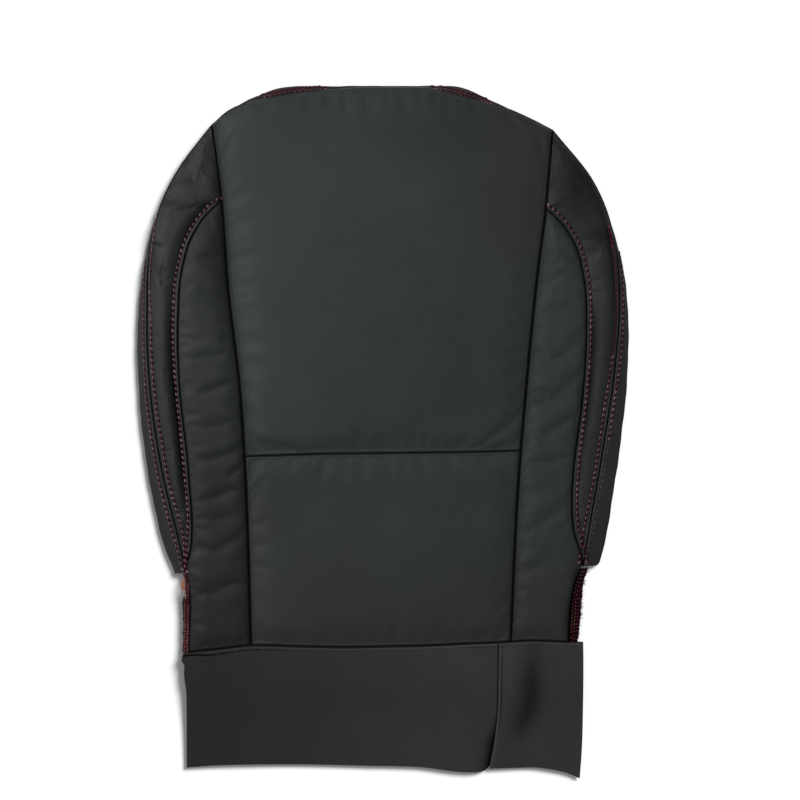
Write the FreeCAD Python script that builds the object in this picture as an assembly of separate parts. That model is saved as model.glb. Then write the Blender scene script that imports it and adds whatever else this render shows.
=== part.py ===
import FreeCAD, Part
import math
import os

# Slip cover for the backrest of a car seat, laid flat with its face up.
# Millimetres. Z up out of the face, Y towards the head end, X to the right as seen from above.
# The origin is on the surface it lies on, at the centre of its outline.

V = FreeCAD.Vector

# Sheet and layer thicknesses
face_sheet = 1.2
foam_sewn = 2.4
foam_full = 5.6
backing = 0.6
gusset_sheet = 1.2
back_sheet = 1.2
flap_sheet = 1.2

# Height of the front layers above the floor, which is the pocket and the gusset round it
front_underside = 9.0

# Pad shaping
crown_centre = 1.3
crown_side = 0.9
shoulder_centre = 16.0
shoulder_side = 11.0
bulge_across = 0.38
bulge_up = 0.66
narrow_middle = 4.0
seam_gap = 0.4
drawn_in_length = 34.0
drawn_in_least = 0.08

# Topstitching: each row is one flat strand of thread, lying on the ledge that is sewn down beside its seam
thread_width = 0.9
thread_height = 0.5
thread_lift = 0.1
stitch_offset = 3.6
curve_ledge = 5.4
rim_ledge = 5.2
thread_step = 9.0

# Gusset, folded in half round the edge
gusset_reach = 22.0
gusset_step = 24.0
back_inset = 0.3

# Seams of the front as (y, x), from the head end down. Left and right differ, as cut.
corner_left = (322.0, -179.5)
corner_right = (316.0, 178.3)
split_left = 242.5
split_right = 234.5
split_gap = 3.0

# Stations of the side panels, as steps down from the split or up from the foot
bend_steps = (0, 5, 12, 21, 32, 46)
bend_end = 64
point_start = 24
point_steps = (14, 6, 0)
straight_parts = 9
foot_steps = (0, 9, 24, 42)

# Ends of the arch and the lines down to the hem
top_edge_y = 362.3
top_flat_left = -24.0
top_flat_right = 48.0
arch_left = [corner_left, (342.7, -150.0), (350.6, -126.0), (358.0, -78.0), (top_edge_y, top_flat_left)]
arch_right = [corner_right, (326.0, 159.6), (341.7, 123.0), (354.4, 79.0), (top_edge_y, top_flat_right)]
centre_left = [corner_left, (242.5, -169.0), (152.0, -162.1), (40.0, -149.2), (-29.0, -144.7),
               (-234.0, -137.6)]
centre_right = [corner_right, (234.5, 171.2), (168.0, 162.8), (24.0, 148.6), (-36.0, 143.6),
                (-228.0, 133.8)]
curve_left = [(242.5, -169.0), (234.0, -179.5), (208.0, -199.0), (174.0, -210.3), (120.0, -215.2),
              (56.0, -214.2), (-45.0, -204.0), (-120.0, -201.6), (-147.5, -206.4), (-160.0, -204.2),
              (-234.0, -203.8)]
curve_right = [(234.5, 171.2), (225.0, 182.0), (200.0, 200.0), (162.0, 211.0), (104.0, 213.7), (32.5, 209.3),
               (-41.0, 200.2), (-75.0, 198.4), (-102.0, 200.2), (-141.0, 208.4), (-155.0, 202.6),
               (-228.0, 193.8)]
rim_left = [corner_left, (277.0, -213.4), (245.0, -230.2), (212.0, -241.0), (128.0, -247.3), (64.0, -245.7),
            (-36.0, -232.6), (-132.0, -210.0), (-147.5, -207.0)]
rim_right = [corner_right, (264.5, 219.2), (235.0, 233.4), (208.0, 241.2), (152.0, 248.0), (67.0, 243.3),
             (-19.0, 230.7), (-99.0, 216.8), (-141.0, 209.6)]

# Outer edge of the whole cover, where the gusset folds under, as (x, y) from the left foot round to the right
fold_left = [V(-219.2, -149.0), V(-234.2, -106.0), V(-252.0, -10.0), V(-258.2, 80.0), V(-256.4, 136.5),
             V(-243.2, 213.0), V(-214.2, 277.2), V(-180.4, 322.8)]
fold_top = [V(-180.4, 322.8), V(-150.2, 344.6), V(-111.3, 361.2), V(-90.0, 363.4), V(-38.0, 363.8),
            V(39.0, 363.8), V(82.0, 362.6), V(106.0, 352.0), V(147.0, 333.4), V(179.2, 317.4)]
fold_right = [V(179.2, 317.4), V(220.0, 264.6), V(243.6, 208.0), V(256.0, 150.0), V(258.2, 92.0),
              V(255.1, 33.6), V(242.6, -62.0), V(229.9, -131.3), V(225.0, -143.0)]

# Cross seam between the upper and the lower centre panel, and the seam that the tuck flap hangs from
cross_left_y = -25.6
cross_right_y = -19.5
hem_middle_y = -224.6
hem_slope = 0.0194
foot_left_y = -149.0
foot_right_y = -143.0
wing_top_left = 317.0
wing_top_right = 311.0
wing_foot_left = -138.0
wing_foot_right = -131.0

# Where the rows of thread begin and end, as heights y
curve_row_start = 6.0
curve_row_foot_left = -112.0
curve_row_foot_right = -106.0
rim_row_head_left = 196.0
rim_row_head_right = 190.0
gusset_row_start = 30.0
wedge_row_foot = 349.4
wedge_row_head = 357.0

# Raw edges between the gusset's foot and the flap, each with its width at the head and lower down
raw_edge_start = 2.5
raw_edge_clearance = 1.0
raw_edge_taper = 22.0
raw_edge_widths = {"left": (6.6, 5.6), "right": (12.0, 7.8)}
raw_edge_rows = {"left": (1.6, 3.9), "right": (1.6, 3.9, 6.2)}
raw_edge_height = 3.0

# Tuck flap
hinge_gap = 0.9
hinge_rise = 0.8
flap_ledge = 6.0
flap_ease = 0.28
flap_ease_drop = 0.17
flap_sag = 1.6
free_edge_height = 6.6

# Stations across the flap: x at the hinge, x and y at the free edge, how far the sheet is lifted half way
# down, and how far its free edge is above free_edge_height
main_stations = [(-208.0, -206.3, -352.8, 0.9, -1.4), (-170.0, -171.0, -350.3, 0.2, 0.3),
                 (-100.0, -99.0, -349.4, 0.6, 0.0), (0.0, -1.0, -350.8, 0.0, 0.4),
                 (60.0, 57.0, -354.6, 0.8, 0.2), (96.0, 90.0, -357.6, 1.3, 1.0),
                 (122.6, 111.2, -353.0, 1.8, 0.6)]
side_stations = [(123.2, 111.8, -353.6, 1.8, 0.6), (138.0, 130.0, -353.2, 1.6, 0.4),
                 (154.0, 150.0, -352.9, -0.9, -0.4), (176.0, 173.0, -354.2, 0.9, 0.2),
                 (209.6, 206.8, -364.3, 0.3, -1.8)]

# Heights that follow from the layers
backing_top = front_underside + backing
foam_edge_top = backing_top + foam_sewn
face_edge_top = foam_edge_top + face_sheet
hinge_height = face_edge_top + hinge_rise
nose_radius = front_underside / 2


def seam(points):
    """A smooth curve through (y, x) points, as a function that gives x at a height y."""
    ordered = sorted(points)
    ys = [p[0] for p in ordered]
    xs = [p[1] for p in ordered]
    steps = [(xs[i + 1] - xs[i]) / (ys[i + 1] - ys[i]) for i in range(len(ys) - 1)]
    slopes = [steps[0]]
    for i in range(1, len(steps)):
        before = ys[i] - ys[i - 1]
        after = ys[i + 1] - ys[i]
        slopes.append((steps[i - 1] * after + steps[i] * before) / (before + after))
    slopes.append(steps[-1])

    def at(y):
        i = 0
        while i < len(steps) - 1 and y > ys[i + 1]:
            i += 1
        length = ys[i + 1] - ys[i]
        t = min(max((y - ys[i]) / length, 0.0), 1.0)
        start = xs[i] * (1 + 2 * t) * (1 - t) ** 2 + slopes[i] * length * t * (1 - t) ** 2
        end = xs[i + 1] * (3 - 2 * t) * t ** 2 - slopes[i + 1] * length * (1 - t) * t ** 2
        return start + end

    return at


def joined(upper, lower, y_change):
    """Two seams end to end, the upper one above y_change."""
    return lambda y: upper(y) if y > y_change else lower(y)


def hem_y(x):
    """The line of the hem seam, where the front ends."""
    return hem_middle_y + hem_slope * x


def stations(left, right, rows):
    """Pairs of plan points on a panel's two long edges, half a seam gap inside the seams."""
    inset = seam_gap / 2
    return [(V(left(yl) + inset, yl, 0), V(right(yr) - inset, yr, 0)) for yl, yr in rows]


def across(a, b, s, z):
    """The point a distance s along the way from a to b, at height z."""
    p = a + (b - a) * (s / (b - a).Length)
    return V(p.x, p.y, z)


def drawn_in(distance):
    """How far a pad has risen to its full height at a distance from its sewn end, from 0 to 1."""
    t = min(distance / drawn_in_length, 1.0)
    return max(drawn_in_least, t * (2.0 - t))


class Pad:
    """The shape of one padded panel: its stations, and the crest over each of them."""

    def __init__(self, places, shoulder, crown, ledges=None):
        self.places = places
        self.ledges = ledges or [(0, 0)] * len(places)
        self.shoulder = shoulder
        self.crown = crown
        middles = [(a + b) * 0.5 for a, b in places]
        self.run = [0.0]
        for before, after in zip(middles, middles[1:]):
            self.run.append(self.run[-1] + (after - before).Length)

    def crest(self, i, z):
        """Edges over station i from its left to its right end: ledge, shoulder, crown, shoulder, ledge."""
        a, b = self.places[i]
        width = (b - a).Length
        open_width = 2 * self.shoulder + narrow_middle
        left_ledge, right_ledge = self.ledges[i]
        middle = width - left_ledge - right_ledge
        least = min(narrow_middle, width / 2)
        if middle < least:
            shrink = (width - least) / (left_ledge + right_ledge)
            left_ledge = left_ledge * shrink
            right_ledge = right_ledge * shrink
            middle = least
        full = min(1.0, middle / open_width)
        lift = full * drawn_in(min(self.run[i], self.run[-1] - self.run[i]))
        shoulder = min(self.shoulder, middle * self.shoulder / open_width)
        rise = (foam_full - foam_sewn) * lift
        s = [left_ledge, left_ledge + shoulder, width - right_ledge - shoulder, width - right_ledge]
        edges = []
        if left_ledge > 0:
            edges.append(Part.LineSegment(across(a, b, 0, z), across(a, b, s[0], z)).toShape())
        left_bulge = across(a, b, s[0] + bulge_across * shoulder, z + bulge_up * rise)
        crown_top = across(a, b, (s[1] + s[2]) / 2, z + rise + self.crown * lift)
        right_bulge = across(a, b, s[3] - bulge_across * shoulder, z + bulge_up * rise)
        left_rise = across(a, b, s[1], z + rise)
        right_rise = across(a, b, s[2], z + rise)
        edges.append(Part.Arc(across(a, b, s[0], z), left_bulge, left_rise).toShape())
        edges.append(Part.Arc(left_rise, crown_top, right_rise).toShape())
        edges.append(Part.Arc(right_rise, right_bulge, across(a, b, s[3], z)).toShape())
        if right_ledge > 0:
            edges.append(Part.LineSegment(across(a, b, s[3], z), across(a, b, width, z)).toShape())
        return edges

    def layer(self, lower, upper):
        """A solid between two crests, or between a flat underside and a crest if lower is flat."""
        flat, low_z = lower
        wires = []
        for i, (a, b) in enumerate(self.places):
            low_a = V(a.x, a.y, low_z)
            low_b = V(b.x, b.y, low_z)
            under = [Part.LineSegment(low_a, low_b).toShape()] if flat else self.crest(i, low_z)
            sides = [Part.LineSegment(low_a, V(a.x, a.y, upper)).toShape(),
                     Part.LineSegment(low_b, V(b.x, b.y, upper)).toShape()]
            wires.append(Part.Wire(Part.__sortEdges__(under + sides + self.crest(i, upper))))
        return Part.makeLoft(wires, True, True)

    def foam(self):
        return self.layer((True, backing_top), foam_edge_top)

    def face(self):
        return self.layer((False, foam_edge_top), face_edge_top)

    def lining(self):
        """The flat cloth under the foam, cut to the same outline."""
        outline = [a for a, b in self.places] + [b for a, b in reversed(self.places)]
        return slab(outline, front_underside, backing)


def slab(outline, z, thickness):
    """A flat sheet with straight edges between the points of its outline."""
    corners = [V(p.x, p.y, z) for p in outline]
    return Part.Face(Part.makePolygon(corners + corners[:1])).extrude(V(0, 0, thickness))


def spaced(start, end, count):
    return [start + (end - start) * i / count for i in range(count + 1)]


def slant(edge, y):
    """A seam's run over its height at y: a width square to the seam is that much wider along x."""
    step = 1.0
    return math.hypot(edge(y + step) - edge(y - step), 2 * step) / (2 * step)


def shared_rows(split, foot):
    """Stations that a wing and the bolster beside it share, close together where the seam bends."""
    head = split - split_gap
    bend = [head - step for step in bend_steps]
    point = [foot + step for step in point_steps]
    return bend + spaced(head - bend_end, foot + point_start, straight_parts) + point


def panels():
    """The six padded panels of the front, by name."""
    mid_left = seam(centre_left)
    mid_right = seam(centre_right)
    bend_left = seam(curve_left)
    bend_right = seam(curve_right)
    top_left = joined(seam(arch_left), mid_left, corner_left[0])
    top_right = joined(seam(arch_right), mid_right, corner_right[0])
    wing_inner_left = joined(mid_left, bend_left, split_left)
    wing_inner_right = joined(mid_right, bend_right, split_right)
    near_end = (0.0, 0.02, 0.05, 0.1, 0.16)

    arch = [math.sin(math.radians(a)) for a in (90, 66, 50, 38, 27, 17, 8)]
    rows = [(corner_left[0] + (top_edge_y - corner_left[0]) * f,
             corner_right[0] + (top_edge_y - corner_right[0]) * f) for f in arch]
    upper_foot = (cross_left_y + seam_gap / 2, cross_right_y + seam_gap / 2)
    parts_down = [0.0, 0.06, 0.12, 0.24, 0.36, 0.48, 0.6, 0.72] + [1 - f for f in reversed(near_end)]
    for f in parts_down:
        rows.append((corner_left[0] + (upper_foot[0] - corner_left[0]) * f,
                     corner_right[0] + (upper_foot[1] - corner_right[0]) * f))
    upper = Pad(stations(top_left, top_right, rows), shoulder_centre, crown_centre)

    lower_head = (cross_left_y - seam_gap / 2, cross_right_y - seam_gap / 2)
    lower_foot = (hem_y(mid_left(hem_middle_y)), hem_y(mid_right(hem_middle_y)))
    ends = [0.0, 0.04, 0.09, 0.18]
    parts_down = ends + [0.35, 0.5, 0.65] + [1 - e for e in reversed(ends)]
    rows = [(lower_head[0] + (lower_foot[0] - lower_head[0]) * f,
             lower_head[1] + (lower_foot[1] - lower_head[1]) * f) for f in parts_down]
    lower = Pad(stations(mid_left, mid_right, rows), shoulder_centre, crown_centre)

    def bolster(outer, inner, split, wing_foot, foot, outer_first):
        """A side panel between the curved seam and the centre seam, which ends on the hem line."""
        ys = shared_rows(split, wing_foot) + [foot - step for step in foot_steps]
        rows = [(y, y) for y in ys]
        edges = (outer, inner) if outer_first else (inner, outer)
        end = tuple(hem_y(edge(hem_middle_y)) for edge in edges)
        last = rows[-1]
        for f in (0.5, 0.8, 1.0):
            rows.append(tuple(last[k] + (end[k] - last[k]) * f for k in (0, 1)))
        return Pad(stations(edges[0], edges[1], rows), shoulder_side, crown_side)

    def wing(outer, inner, head, split, foot, outer_first):
        """An outer panel from the shoulder down to a point at the gusset's foot."""
        ys = spaced(head, split, 6) + shared_rows(split, foot)
        edges = (outer, inner) if outer_first else (inner, outer)
        ledges = [(rim_ledge * slant(outer, y), curve_ledge * slant(inner, y)) for y in ys]
        if not outer_first:
            ledges = [pair[::-1] for pair in ledges]
        return Pad(stations(edges[0], edges[1], [(y, y) for y in ys]), shoulder_side, crown_side, ledges)

    edge_left = seam(rim_left)
    edge_right = seam(rim_right)
    return {
        "upper_centre": upper,
        "lower_centre": lower,
        "left_bolster": bolster(bend_left, mid_left, split_left, wing_foot_left, foot_left_y, True),
        "right_bolster": bolster(bend_right, mid_right, split_right, wing_foot_right, foot_right_y,
                                 False),
        "left_wing": wing(edge_left, wing_inner_left, wing_top_left, split_left, wing_foot_left, True),
        "right_wing": wing(edge_right, wing_inner_right, wing_top_right, split_right, wing_foot_right,
                           False),
    }


def fold_line(points):
    """Evenly spaced points along the smooth fold through the given ones."""
    curve = Part.BSplineCurve()
    curve.interpolate(points)
    count = max(4, math.ceil(curve.length() / gusset_step))
    return curve.discretize(Number=count + 1)


def fold_lines():
    """The three lengths of the fold, each with the direction inwards at each of its points."""
    lengths = [fold_line(points) for points in (fold_left, fold_top, fold_right)]
    chain = lengths[0] + lengths[1][1:] + lengths[2][1:]
    inward = []
    for i in range(len(chain)):
        along = chain[min(i + 1, len(chain) - 1)] - chain[max(i - 1, 0)]
        inward.append(V(along.y, -along.x, 0).normalize())
    first = 0
    result = []
    for points in lengths:
        last = first + len(points) - 1
        result.append(list(zip(chain[first:last + 1], inward[first:last + 1])))
        first = last
    return result


def leg(line, z):
    """A flat leg of the gusset, from the round nose inwards."""
    near = [place + inward * nose_radius for place, inward in line]
    far = [place + inward * gusset_reach for place, inward in line]
    return slab(near + far[::-1], z, gusset_sheet)


def gusset(line):
    """A strip of sheet folded round the edge: an upper leg, a round nose and a lower leg."""
    bend = math.sqrt(0.5)
    inner = nose_radius - gusset_sheet
    wires = []
    for place, inward in line:
        def at(depth, z):
            p = place + inward * depth
            return V(p.x, p.y, z)

        def quarter(radius, upwards):
            end = at(nose_radius, nose_radius + radius * upwards)
            half_way = at(nose_radius - radius * bend, nose_radius + radius * bend * upwards)
            return Part.Arc(end, half_way, at(nose_radius - radius, nose_radius)).toShape()

        cuts = [(at(nose_radius, nose_radius + nose_radius * side),
                 at(nose_radius, nose_radius + inner * side)) for side in (1, -1)]
        edges = [quarter(radius, side) for radius in (nose_radius, inner) for side in (1, -1)]
        edges = edges + [Part.LineSegment(start, end).toShape() for start, end in cuts]
        wires.append(Part.Wire(Part.__sortEdges__(edges)))
    nose = Part.makeLoft(wires, True, True)
    return nose.fuse([leg(line, 0), leg(line, front_underside - gusset_sheet)]).Solids[0]


def back_panel(lines):
    """The plain sheet behind, which lies on the gusset's lower leg and ends at the mouth of the pocket."""
    inset = nose_radius + back_inset
    outline = []
    for line in lines:
        outline = outline + [place + inward * inset for place, inward in line]
    return slab(outline, gusset_sheet, back_sheet)


def strand(edge, offset, ys, z):
    """One row of thread: a flat strand beside a seam, offset from it across its run."""
    left = []
    right = []
    for i, y in enumerate(ys):
        before = ys[max(i - 1, 0)]
        after = ys[min(i + 1, len(ys) - 1)]
        along = V(edge(after) - edge(before), after - before, 0).normalize()
        side = V(along.y, -along.x, 0)
        middle = V(edge(y), y, 0) + side * offset
        left.append(middle - side * (thread_width / 2))
        right.append(middle + side * (thread_width / 2))
    return slab(left + right[::-1], z, thread_height)


def row_heights(head, foot):
    """Heights along a row of thread, a step apart."""
    return spaced(head, foot, math.ceil(abs(head - foot) / thread_step))


def stitching():
    """The rows of topstitching, a node for each run of thread."""
    on_face = face_edge_top + thread_lift
    on_gusset = front_underside + thread_lift
    curve_rows = {
        "left_curve_stitching": (seam(curve_left), 1, split_left - curve_row_start, curve_row_foot_left),
        "right_curve_stitching": (seam(curve_right), -1, split_right - curve_row_start, curve_row_foot_right),
    }
    rows = {}
    for name, (edge, side, head, foot) in curve_rows.items():
        rows[name] = strand(edge, side * stitch_offset, row_heights(head, foot), on_face)
    rim_rows = {
        "left_gusset_stitching": (seam(rim_left), -1, rim_row_head_left, curve_row_foot_left),
        "right_gusset_stitching": (seam(rim_right), 1, rim_row_head_right, curve_row_foot_right),
    }
    for name, (edge, side, head, foot) in rim_rows.items():
        inner = strand(edge, side * stitch_offset, row_heights(head, foot), on_face)
        outer = strand(edge, -side * stitch_offset, row_heights(head - gusset_row_start, foot), on_gusset)
        rows[name] = Part.makeCompound([inner, outer])
    wedge_heights = row_heights(wedge_row_foot, wedge_row_head)
    wedges = [strand(seam(arch), side * stitch_offset, wedge_heights, on_gusset)
              for arch, side in ((arch_left, -1), (arch_right, 1))]
    rows["top_gusset_stitching"] = Part.makeCompound(wedges)
    return rows


def raw_edges():
    """The two frayed edges beside the lower bolsters, and the heavy rows of thread that close them."""
    shapes = {}
    sides = {"left": (seam(curve_left), -1, foot_left_y), "right": (seam(curve_right), 1, foot_right_y)}
    for name, (edge, side, foot) in sides.items():
        ys = row_heights(foot - raw_edge_start, hem_y(edge(hem_middle_y)) + raw_edge_clearance)
        near = seam_gap / 2
        head_width, low_width = raw_edge_widths[name]
        flare = [max(0.0, 1 - (ys[0] - y) / raw_edge_taper) for y in ys]
        widths = [low_width + (head_width - low_width) * f for f in flare]
        inner = [V(edge(y) + side * near, y, 0) for y in ys]
        outer = [V(edge(y) + side * (near + width), y, 0) for y, width in zip(ys, widths)]
        shapes[name + "_raw_edge"] = slab(inner + outer[::-1], front_underside, raw_edge_height)
        z = front_underside + raw_edge_height + thread_lift
        rows = [strand(edge, -side * offset, ys[1:], z) for offset in raw_edge_rows[name]]
        shapes[name + "_raw_edge_stitching"] = Part.makeCompound(rows)
    return shapes


def flap_path(start, end, lift, edge_lift, thickness):
    """Edges of the flap's fall from the hinge to its free edge, raised or lowered by half a sheet."""
    run = (end - start).Length
    fall = run - flap_ledge
    edge_height = free_edge_height + edge_lift
    drop = flap_ease_drop * (hinge_height - edge_height)
    levels = {
        "hinge": (0.0, hinge_height),
        "ledge": (flap_ledge, hinge_height),
        "bend": (flap_ledge + fall * flap_ease, hinge_height - drop - flap_sag / 2 + lift / 2),
        "slope": (flap_ledge + fall / 2, (hinge_height + edge_height) / 2 - flap_sag + lift),
        "ease": (run - fall * flap_ease, edge_height + drop - flap_sag / 2 + lift / 2),
        "edge": (run, edge_height),
    }
    p = {key: across(start, end, s, z + thickness) for key, (s, z) in levels.items()}
    return [Part.LineSegment(p["hinge"], p["ledge"]).toShape(),
            Part.Arc(p["ledge"], p["bend"], p["slope"]).toShape(),
            Part.Arc(p["slope"], p["ease"], p["edge"]).toShape()]


def flap(rows):
    """A length of the tuck flap, lofted through its stations."""
    wires = []
    for x_hinge, x_edge, y_edge, lift, edge_lift in rows:
        start = V(x_hinge, hem_y(x_hinge) - hinge_gap, 0)
        end = V(x_edge, y_edge, 0)
        lower = flap_path(start, end, lift, edge_lift, -flap_sheet / 2)
        upper = flap_path(start, end, lift, edge_lift, flap_sheet / 2)
        ends = [(lower[0].firstVertex().Point, upper[0].firstVertex().Point),
                (lower[-1].lastVertex().Point, upper[-1].lastVertex().Point)]
        sides = [Part.LineSegment(low, high).toShape() for low, high in ends]
        wires.append(Part.Wire(Part.__sortEdges__(lower + upper + sides)))
    return Part.makeLoft(wires, True, True)


def build():
    """All the pieces, by node name."""
    pieces = {}
    for name, pad in panels().items():
        pieces[name + "_face"] = pad.face()
        pieces[name + "_foam"] = pad.foam()
        pieces[name + "_backing"] = pad.lining()
    lines = fold_lines()
    for name, line in zip(("left_side_gusset", "top_gusset", "right_side_gusset"), lines):
        pieces[name] = gusset(line)
    pieces["back_panel"] = back_panel(lines)
    pieces.update(stitching())
    pieces.update(raw_edges())
    pieces["tuck_flap_main"] = flap(main_stations)
    pieces["tuck_flap_side"] = flap(side_stations)
    return pieces


os.makedirs("parts", exist_ok=True)
for node, shape in build().items():
    shape.exportStep("parts/" + node + ".step")
    box = shape.BoundBox
    volume = shape.Volume / 1000
    print(f"{node:32s} valid {shape.isValid()} solids {len(shape.Solids)} volume {volume:8.2f} cm3",
          f"x {box.XMin:7.1f} {box.XMax:7.1f} y {box.YMin:7.1f} {box.YMax:7.1f}",
          f"z {box.ZMin:5.1f} {box.ZMax:5.1f}")
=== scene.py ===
import math

import bpy
import numpy as np
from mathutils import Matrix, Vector
from mathutils.bvhtree import BVHTree
from mathutils.kdtree import KDTree


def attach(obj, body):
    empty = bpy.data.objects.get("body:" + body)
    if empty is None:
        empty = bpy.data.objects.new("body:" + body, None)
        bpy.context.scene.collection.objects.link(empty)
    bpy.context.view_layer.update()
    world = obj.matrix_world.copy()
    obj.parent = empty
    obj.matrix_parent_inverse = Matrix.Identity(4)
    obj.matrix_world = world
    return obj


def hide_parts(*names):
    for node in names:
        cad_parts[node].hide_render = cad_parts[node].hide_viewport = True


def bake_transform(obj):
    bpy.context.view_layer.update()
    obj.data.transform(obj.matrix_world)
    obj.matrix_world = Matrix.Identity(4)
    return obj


# A padded slip cover for the backrest of a car seat, laid flat with its face up.
# Metres. X to the right, Y towards the head end, Z up out of the face, as in the frame.

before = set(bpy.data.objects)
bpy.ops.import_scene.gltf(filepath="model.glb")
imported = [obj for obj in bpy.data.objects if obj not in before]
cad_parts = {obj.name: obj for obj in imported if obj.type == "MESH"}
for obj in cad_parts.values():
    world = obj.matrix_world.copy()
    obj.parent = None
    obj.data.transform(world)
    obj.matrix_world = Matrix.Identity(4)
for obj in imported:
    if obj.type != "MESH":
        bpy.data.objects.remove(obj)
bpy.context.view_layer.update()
scene = bpy.context.scene
print("frame loaded")


def pairs(*numbers):  # pairs of lengths in metres, from numbers in millimetres
    metres = [round(number / 1000, 7) for number in numbers]
    return list(zip(metres[::2], metres[1::2]))


# Sewn lines of the front, each from the head end down, as (y, x). The hem and the cross seam run from left to
# right, as (x, y). A split is the height at which a curved seam meets the centre seam.
seams = {
    "cornerLeft": 0.322, "cornerRight": 0.316, "splitLeft": 0.2425, "splitRight": 0.2345, "topEdge": 0.3623,
    "archLeft": pairs(322, -179.5, 342.7, -150, 350.6, -126, 358, -78, 362.3, -24),
    "archRight": pairs(316, 178.3, 326, 159.6, 341.7, 123, 354.4, 79, 362.3, 48),
    "centreLeft": pairs(322, -179.5, 242.5, -169, 152, -162.1, 40, -149.2, -29, -144.7, -234, -137.6),
    "centreRight": pairs(316, 178.3, 234.5, 171.2, 168, 162.8, 24, 148.6, -36, 143.6, -228, 133.8),
    "curveLeft": pairs(
        242.5, -169, 234, -179.5, 208, -199, 174, -210.3, 120, -215.2, 56, -214.2, -45, -204, -120, -201.6,
        -147.5, -206.4, -160, -204.2, -234, -203.8),
    "curveRight": pairs(
        234.5, 171.2, 225, 182, 200, 200, 162, 211, 104, 213.7, 32.5, 209.3, -41, 200.2, -75, 198.4,
        -102, 200.2, -141, 208.4, -155, 202.6, -228, 193.8),
    "rimLeft": pairs(
        322, -179.5, 277, -213.4, 245, -230.2, 212, -241, 128, -247.3, 64, -245.7, -36, -232.6, -132, -210,
        -147.5, -207),
    "rimRight": pairs(
        316, 178.3, 264.5, 219.2, 235, 233.4, 208, 241.2, 152, 248, 67, 243.3, -19, 230.7, -99, 216.8,
        -141, 209.6),
    "crossLeft": -0.0256, "crossRight": -0.0195,
    "hem": pairs(
        -209, -231.5, -171.1, -227.5, -140.7, -224, -128.1, -223.7, -87.2, -224.9, -43.1, -225.8,
        9.4, -224.9, 38.9, -224.3, 91.4, -221.9, 122.9, -220.6, 134.4, -220, 152.3, -218.9, 194.3, -220.1,
        212, -220.1),
    "cross": pairs(-119.7, -24.8, -66.2, -23.1, 0, -22.2, 101.9, -20.8),
}

# The fold of the gusset round the outer edge, as (x, y) from the left foot round the head to the right foot
foldPoints = {
    "left": pairs(
        -219.2, -149, -234.2, -106, -252, -10, -258.2, 80, -256.4, 136.5, -243.2, 213, -214.2, 277.2,
        -180.4, 322.8),
    "top": pairs(
        -180.4, 322.8, -150.2, 344.6, -111.3, 361.2, -90, 363.4, -38, 363.8, 39, 363.8, 82, 362.6, 106, 352,
        147, 333.4, 179.2, 317.4),
    "right": pairs(
        179.2, 317.4, 220, 264.6, 243.6, 208, 256, 150, 258.2, 92, 255.1, 33.6, 242.6, -62, 229.9, -131.3,
        225, -143),
}

# Heights that all the pieces share
levels = {"backingLow": 0.009, "backingTop": 0.0096, "groove": 0.0098, "ledge": 0.0133, "leather": 0.0012}


# Lines and their distances

def smoothLine(points):  # value at any place along points of (place, value), with no overshoot at the ends
    ordered = sorted(points)
    places = np.array([p[0] for p in ordered])
    values = np.array([p[1] for p in ordered])
    gaps = np.diff(places)
    steps = np.diff(values) / gaps
    slopes = np.empty(len(places))
    slopes[0], slopes[-1] = steps[0], steps[-1]
    slopes[1:-1] = (steps[:-1] * gaps[1:] + steps[1:] * gaps[:-1]) / (gaps[:-1] + gaps[1:])

    def at(place):
        place = np.clip(np.asarray(place, float), places[0], places[-1])
        i = np.clip(np.searchsorted(places, place) - 1, 0, len(gaps) - 1)
        t = (place - places[i]) / gaps[i]
        start = values[i] * (1 + 2 * t) * (1 - t) ** 2 + slopes[i] * gaps[i] * t * (1 - t) ** 2
        end = values[i + 1] * (3 - 2 * t) * t ** 2 - slopes[i + 1] * gaps[i] * (1 - t) * t ** 2
        return start + end

    return at


def curveThrough(points, each=24):  # Catmull-Rom through points of any dimension
    p = np.array(points, float)
    p = np.vstack([2 * p[0] - p[1], p, 2 * p[-1] - p[-2]])
    knots = np.concatenate([[0], np.cumsum(np.sqrt(np.linalg.norm(np.diff(p, axis=0), axis=1)))])
    out = []
    for i in range(1, len(p) - 2):
        t0, t1, t2, t3 = knots[i - 1:i + 3]
        t = np.linspace(t1, t2, each, endpoint=False)[:, None]
        a1 = (t1 - t) / (t1 - t0) * p[i - 1] + (t - t0) / (t1 - t0) * p[i]
        a2 = (t2 - t) / (t2 - t1) * p[i] + (t - t1) / (t2 - t1) * p[i + 1]
        a3 = (t3 - t) / (t3 - t2) * p[i + 1] + (t - t2) / (t3 - t2) * p[i + 2]
        b1 = (t2 - t) / (t2 - t0) * a1 + (t - t0) / (t2 - t0) * a2
        b2 = (t3 - t) / (t3 - t1) * a2 + (t - t1) / (t3 - t1) * a3
        out.append((t2 - t) / (t2 - t1) * b1 + (t - t1) / (t2 - t1) * b2)
    return np.vstack(out + [p[-2:-1]])


def runLength(path):
    return np.concatenate([[0], np.cumsum(np.linalg.norm(np.diff(path, axis=0), axis=1))])


def pointsAt(path, share):  # places at shares of the path's length
    run = runLength(path)
    s = np.asarray(share) * run[-1]
    return np.stack([np.interp(s, run, path[:, k]) for k in range(path.shape[1])], axis=-1)


def evenly(path, step):
    count = max(2, int(round(runLength(path)[-1] / step)) + 1)
    return pointsAt(path, np.linspace(0, 1, count))


def offsetPath(path, distance):  # to the left of the way the path runs
    along = np.gradient(path, axis=0)
    along /= np.linalg.norm(along, axis=1)[:, None]
    return path + np.stack([-along[:, 1], along[:, 0]], axis=1) * distance


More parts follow.
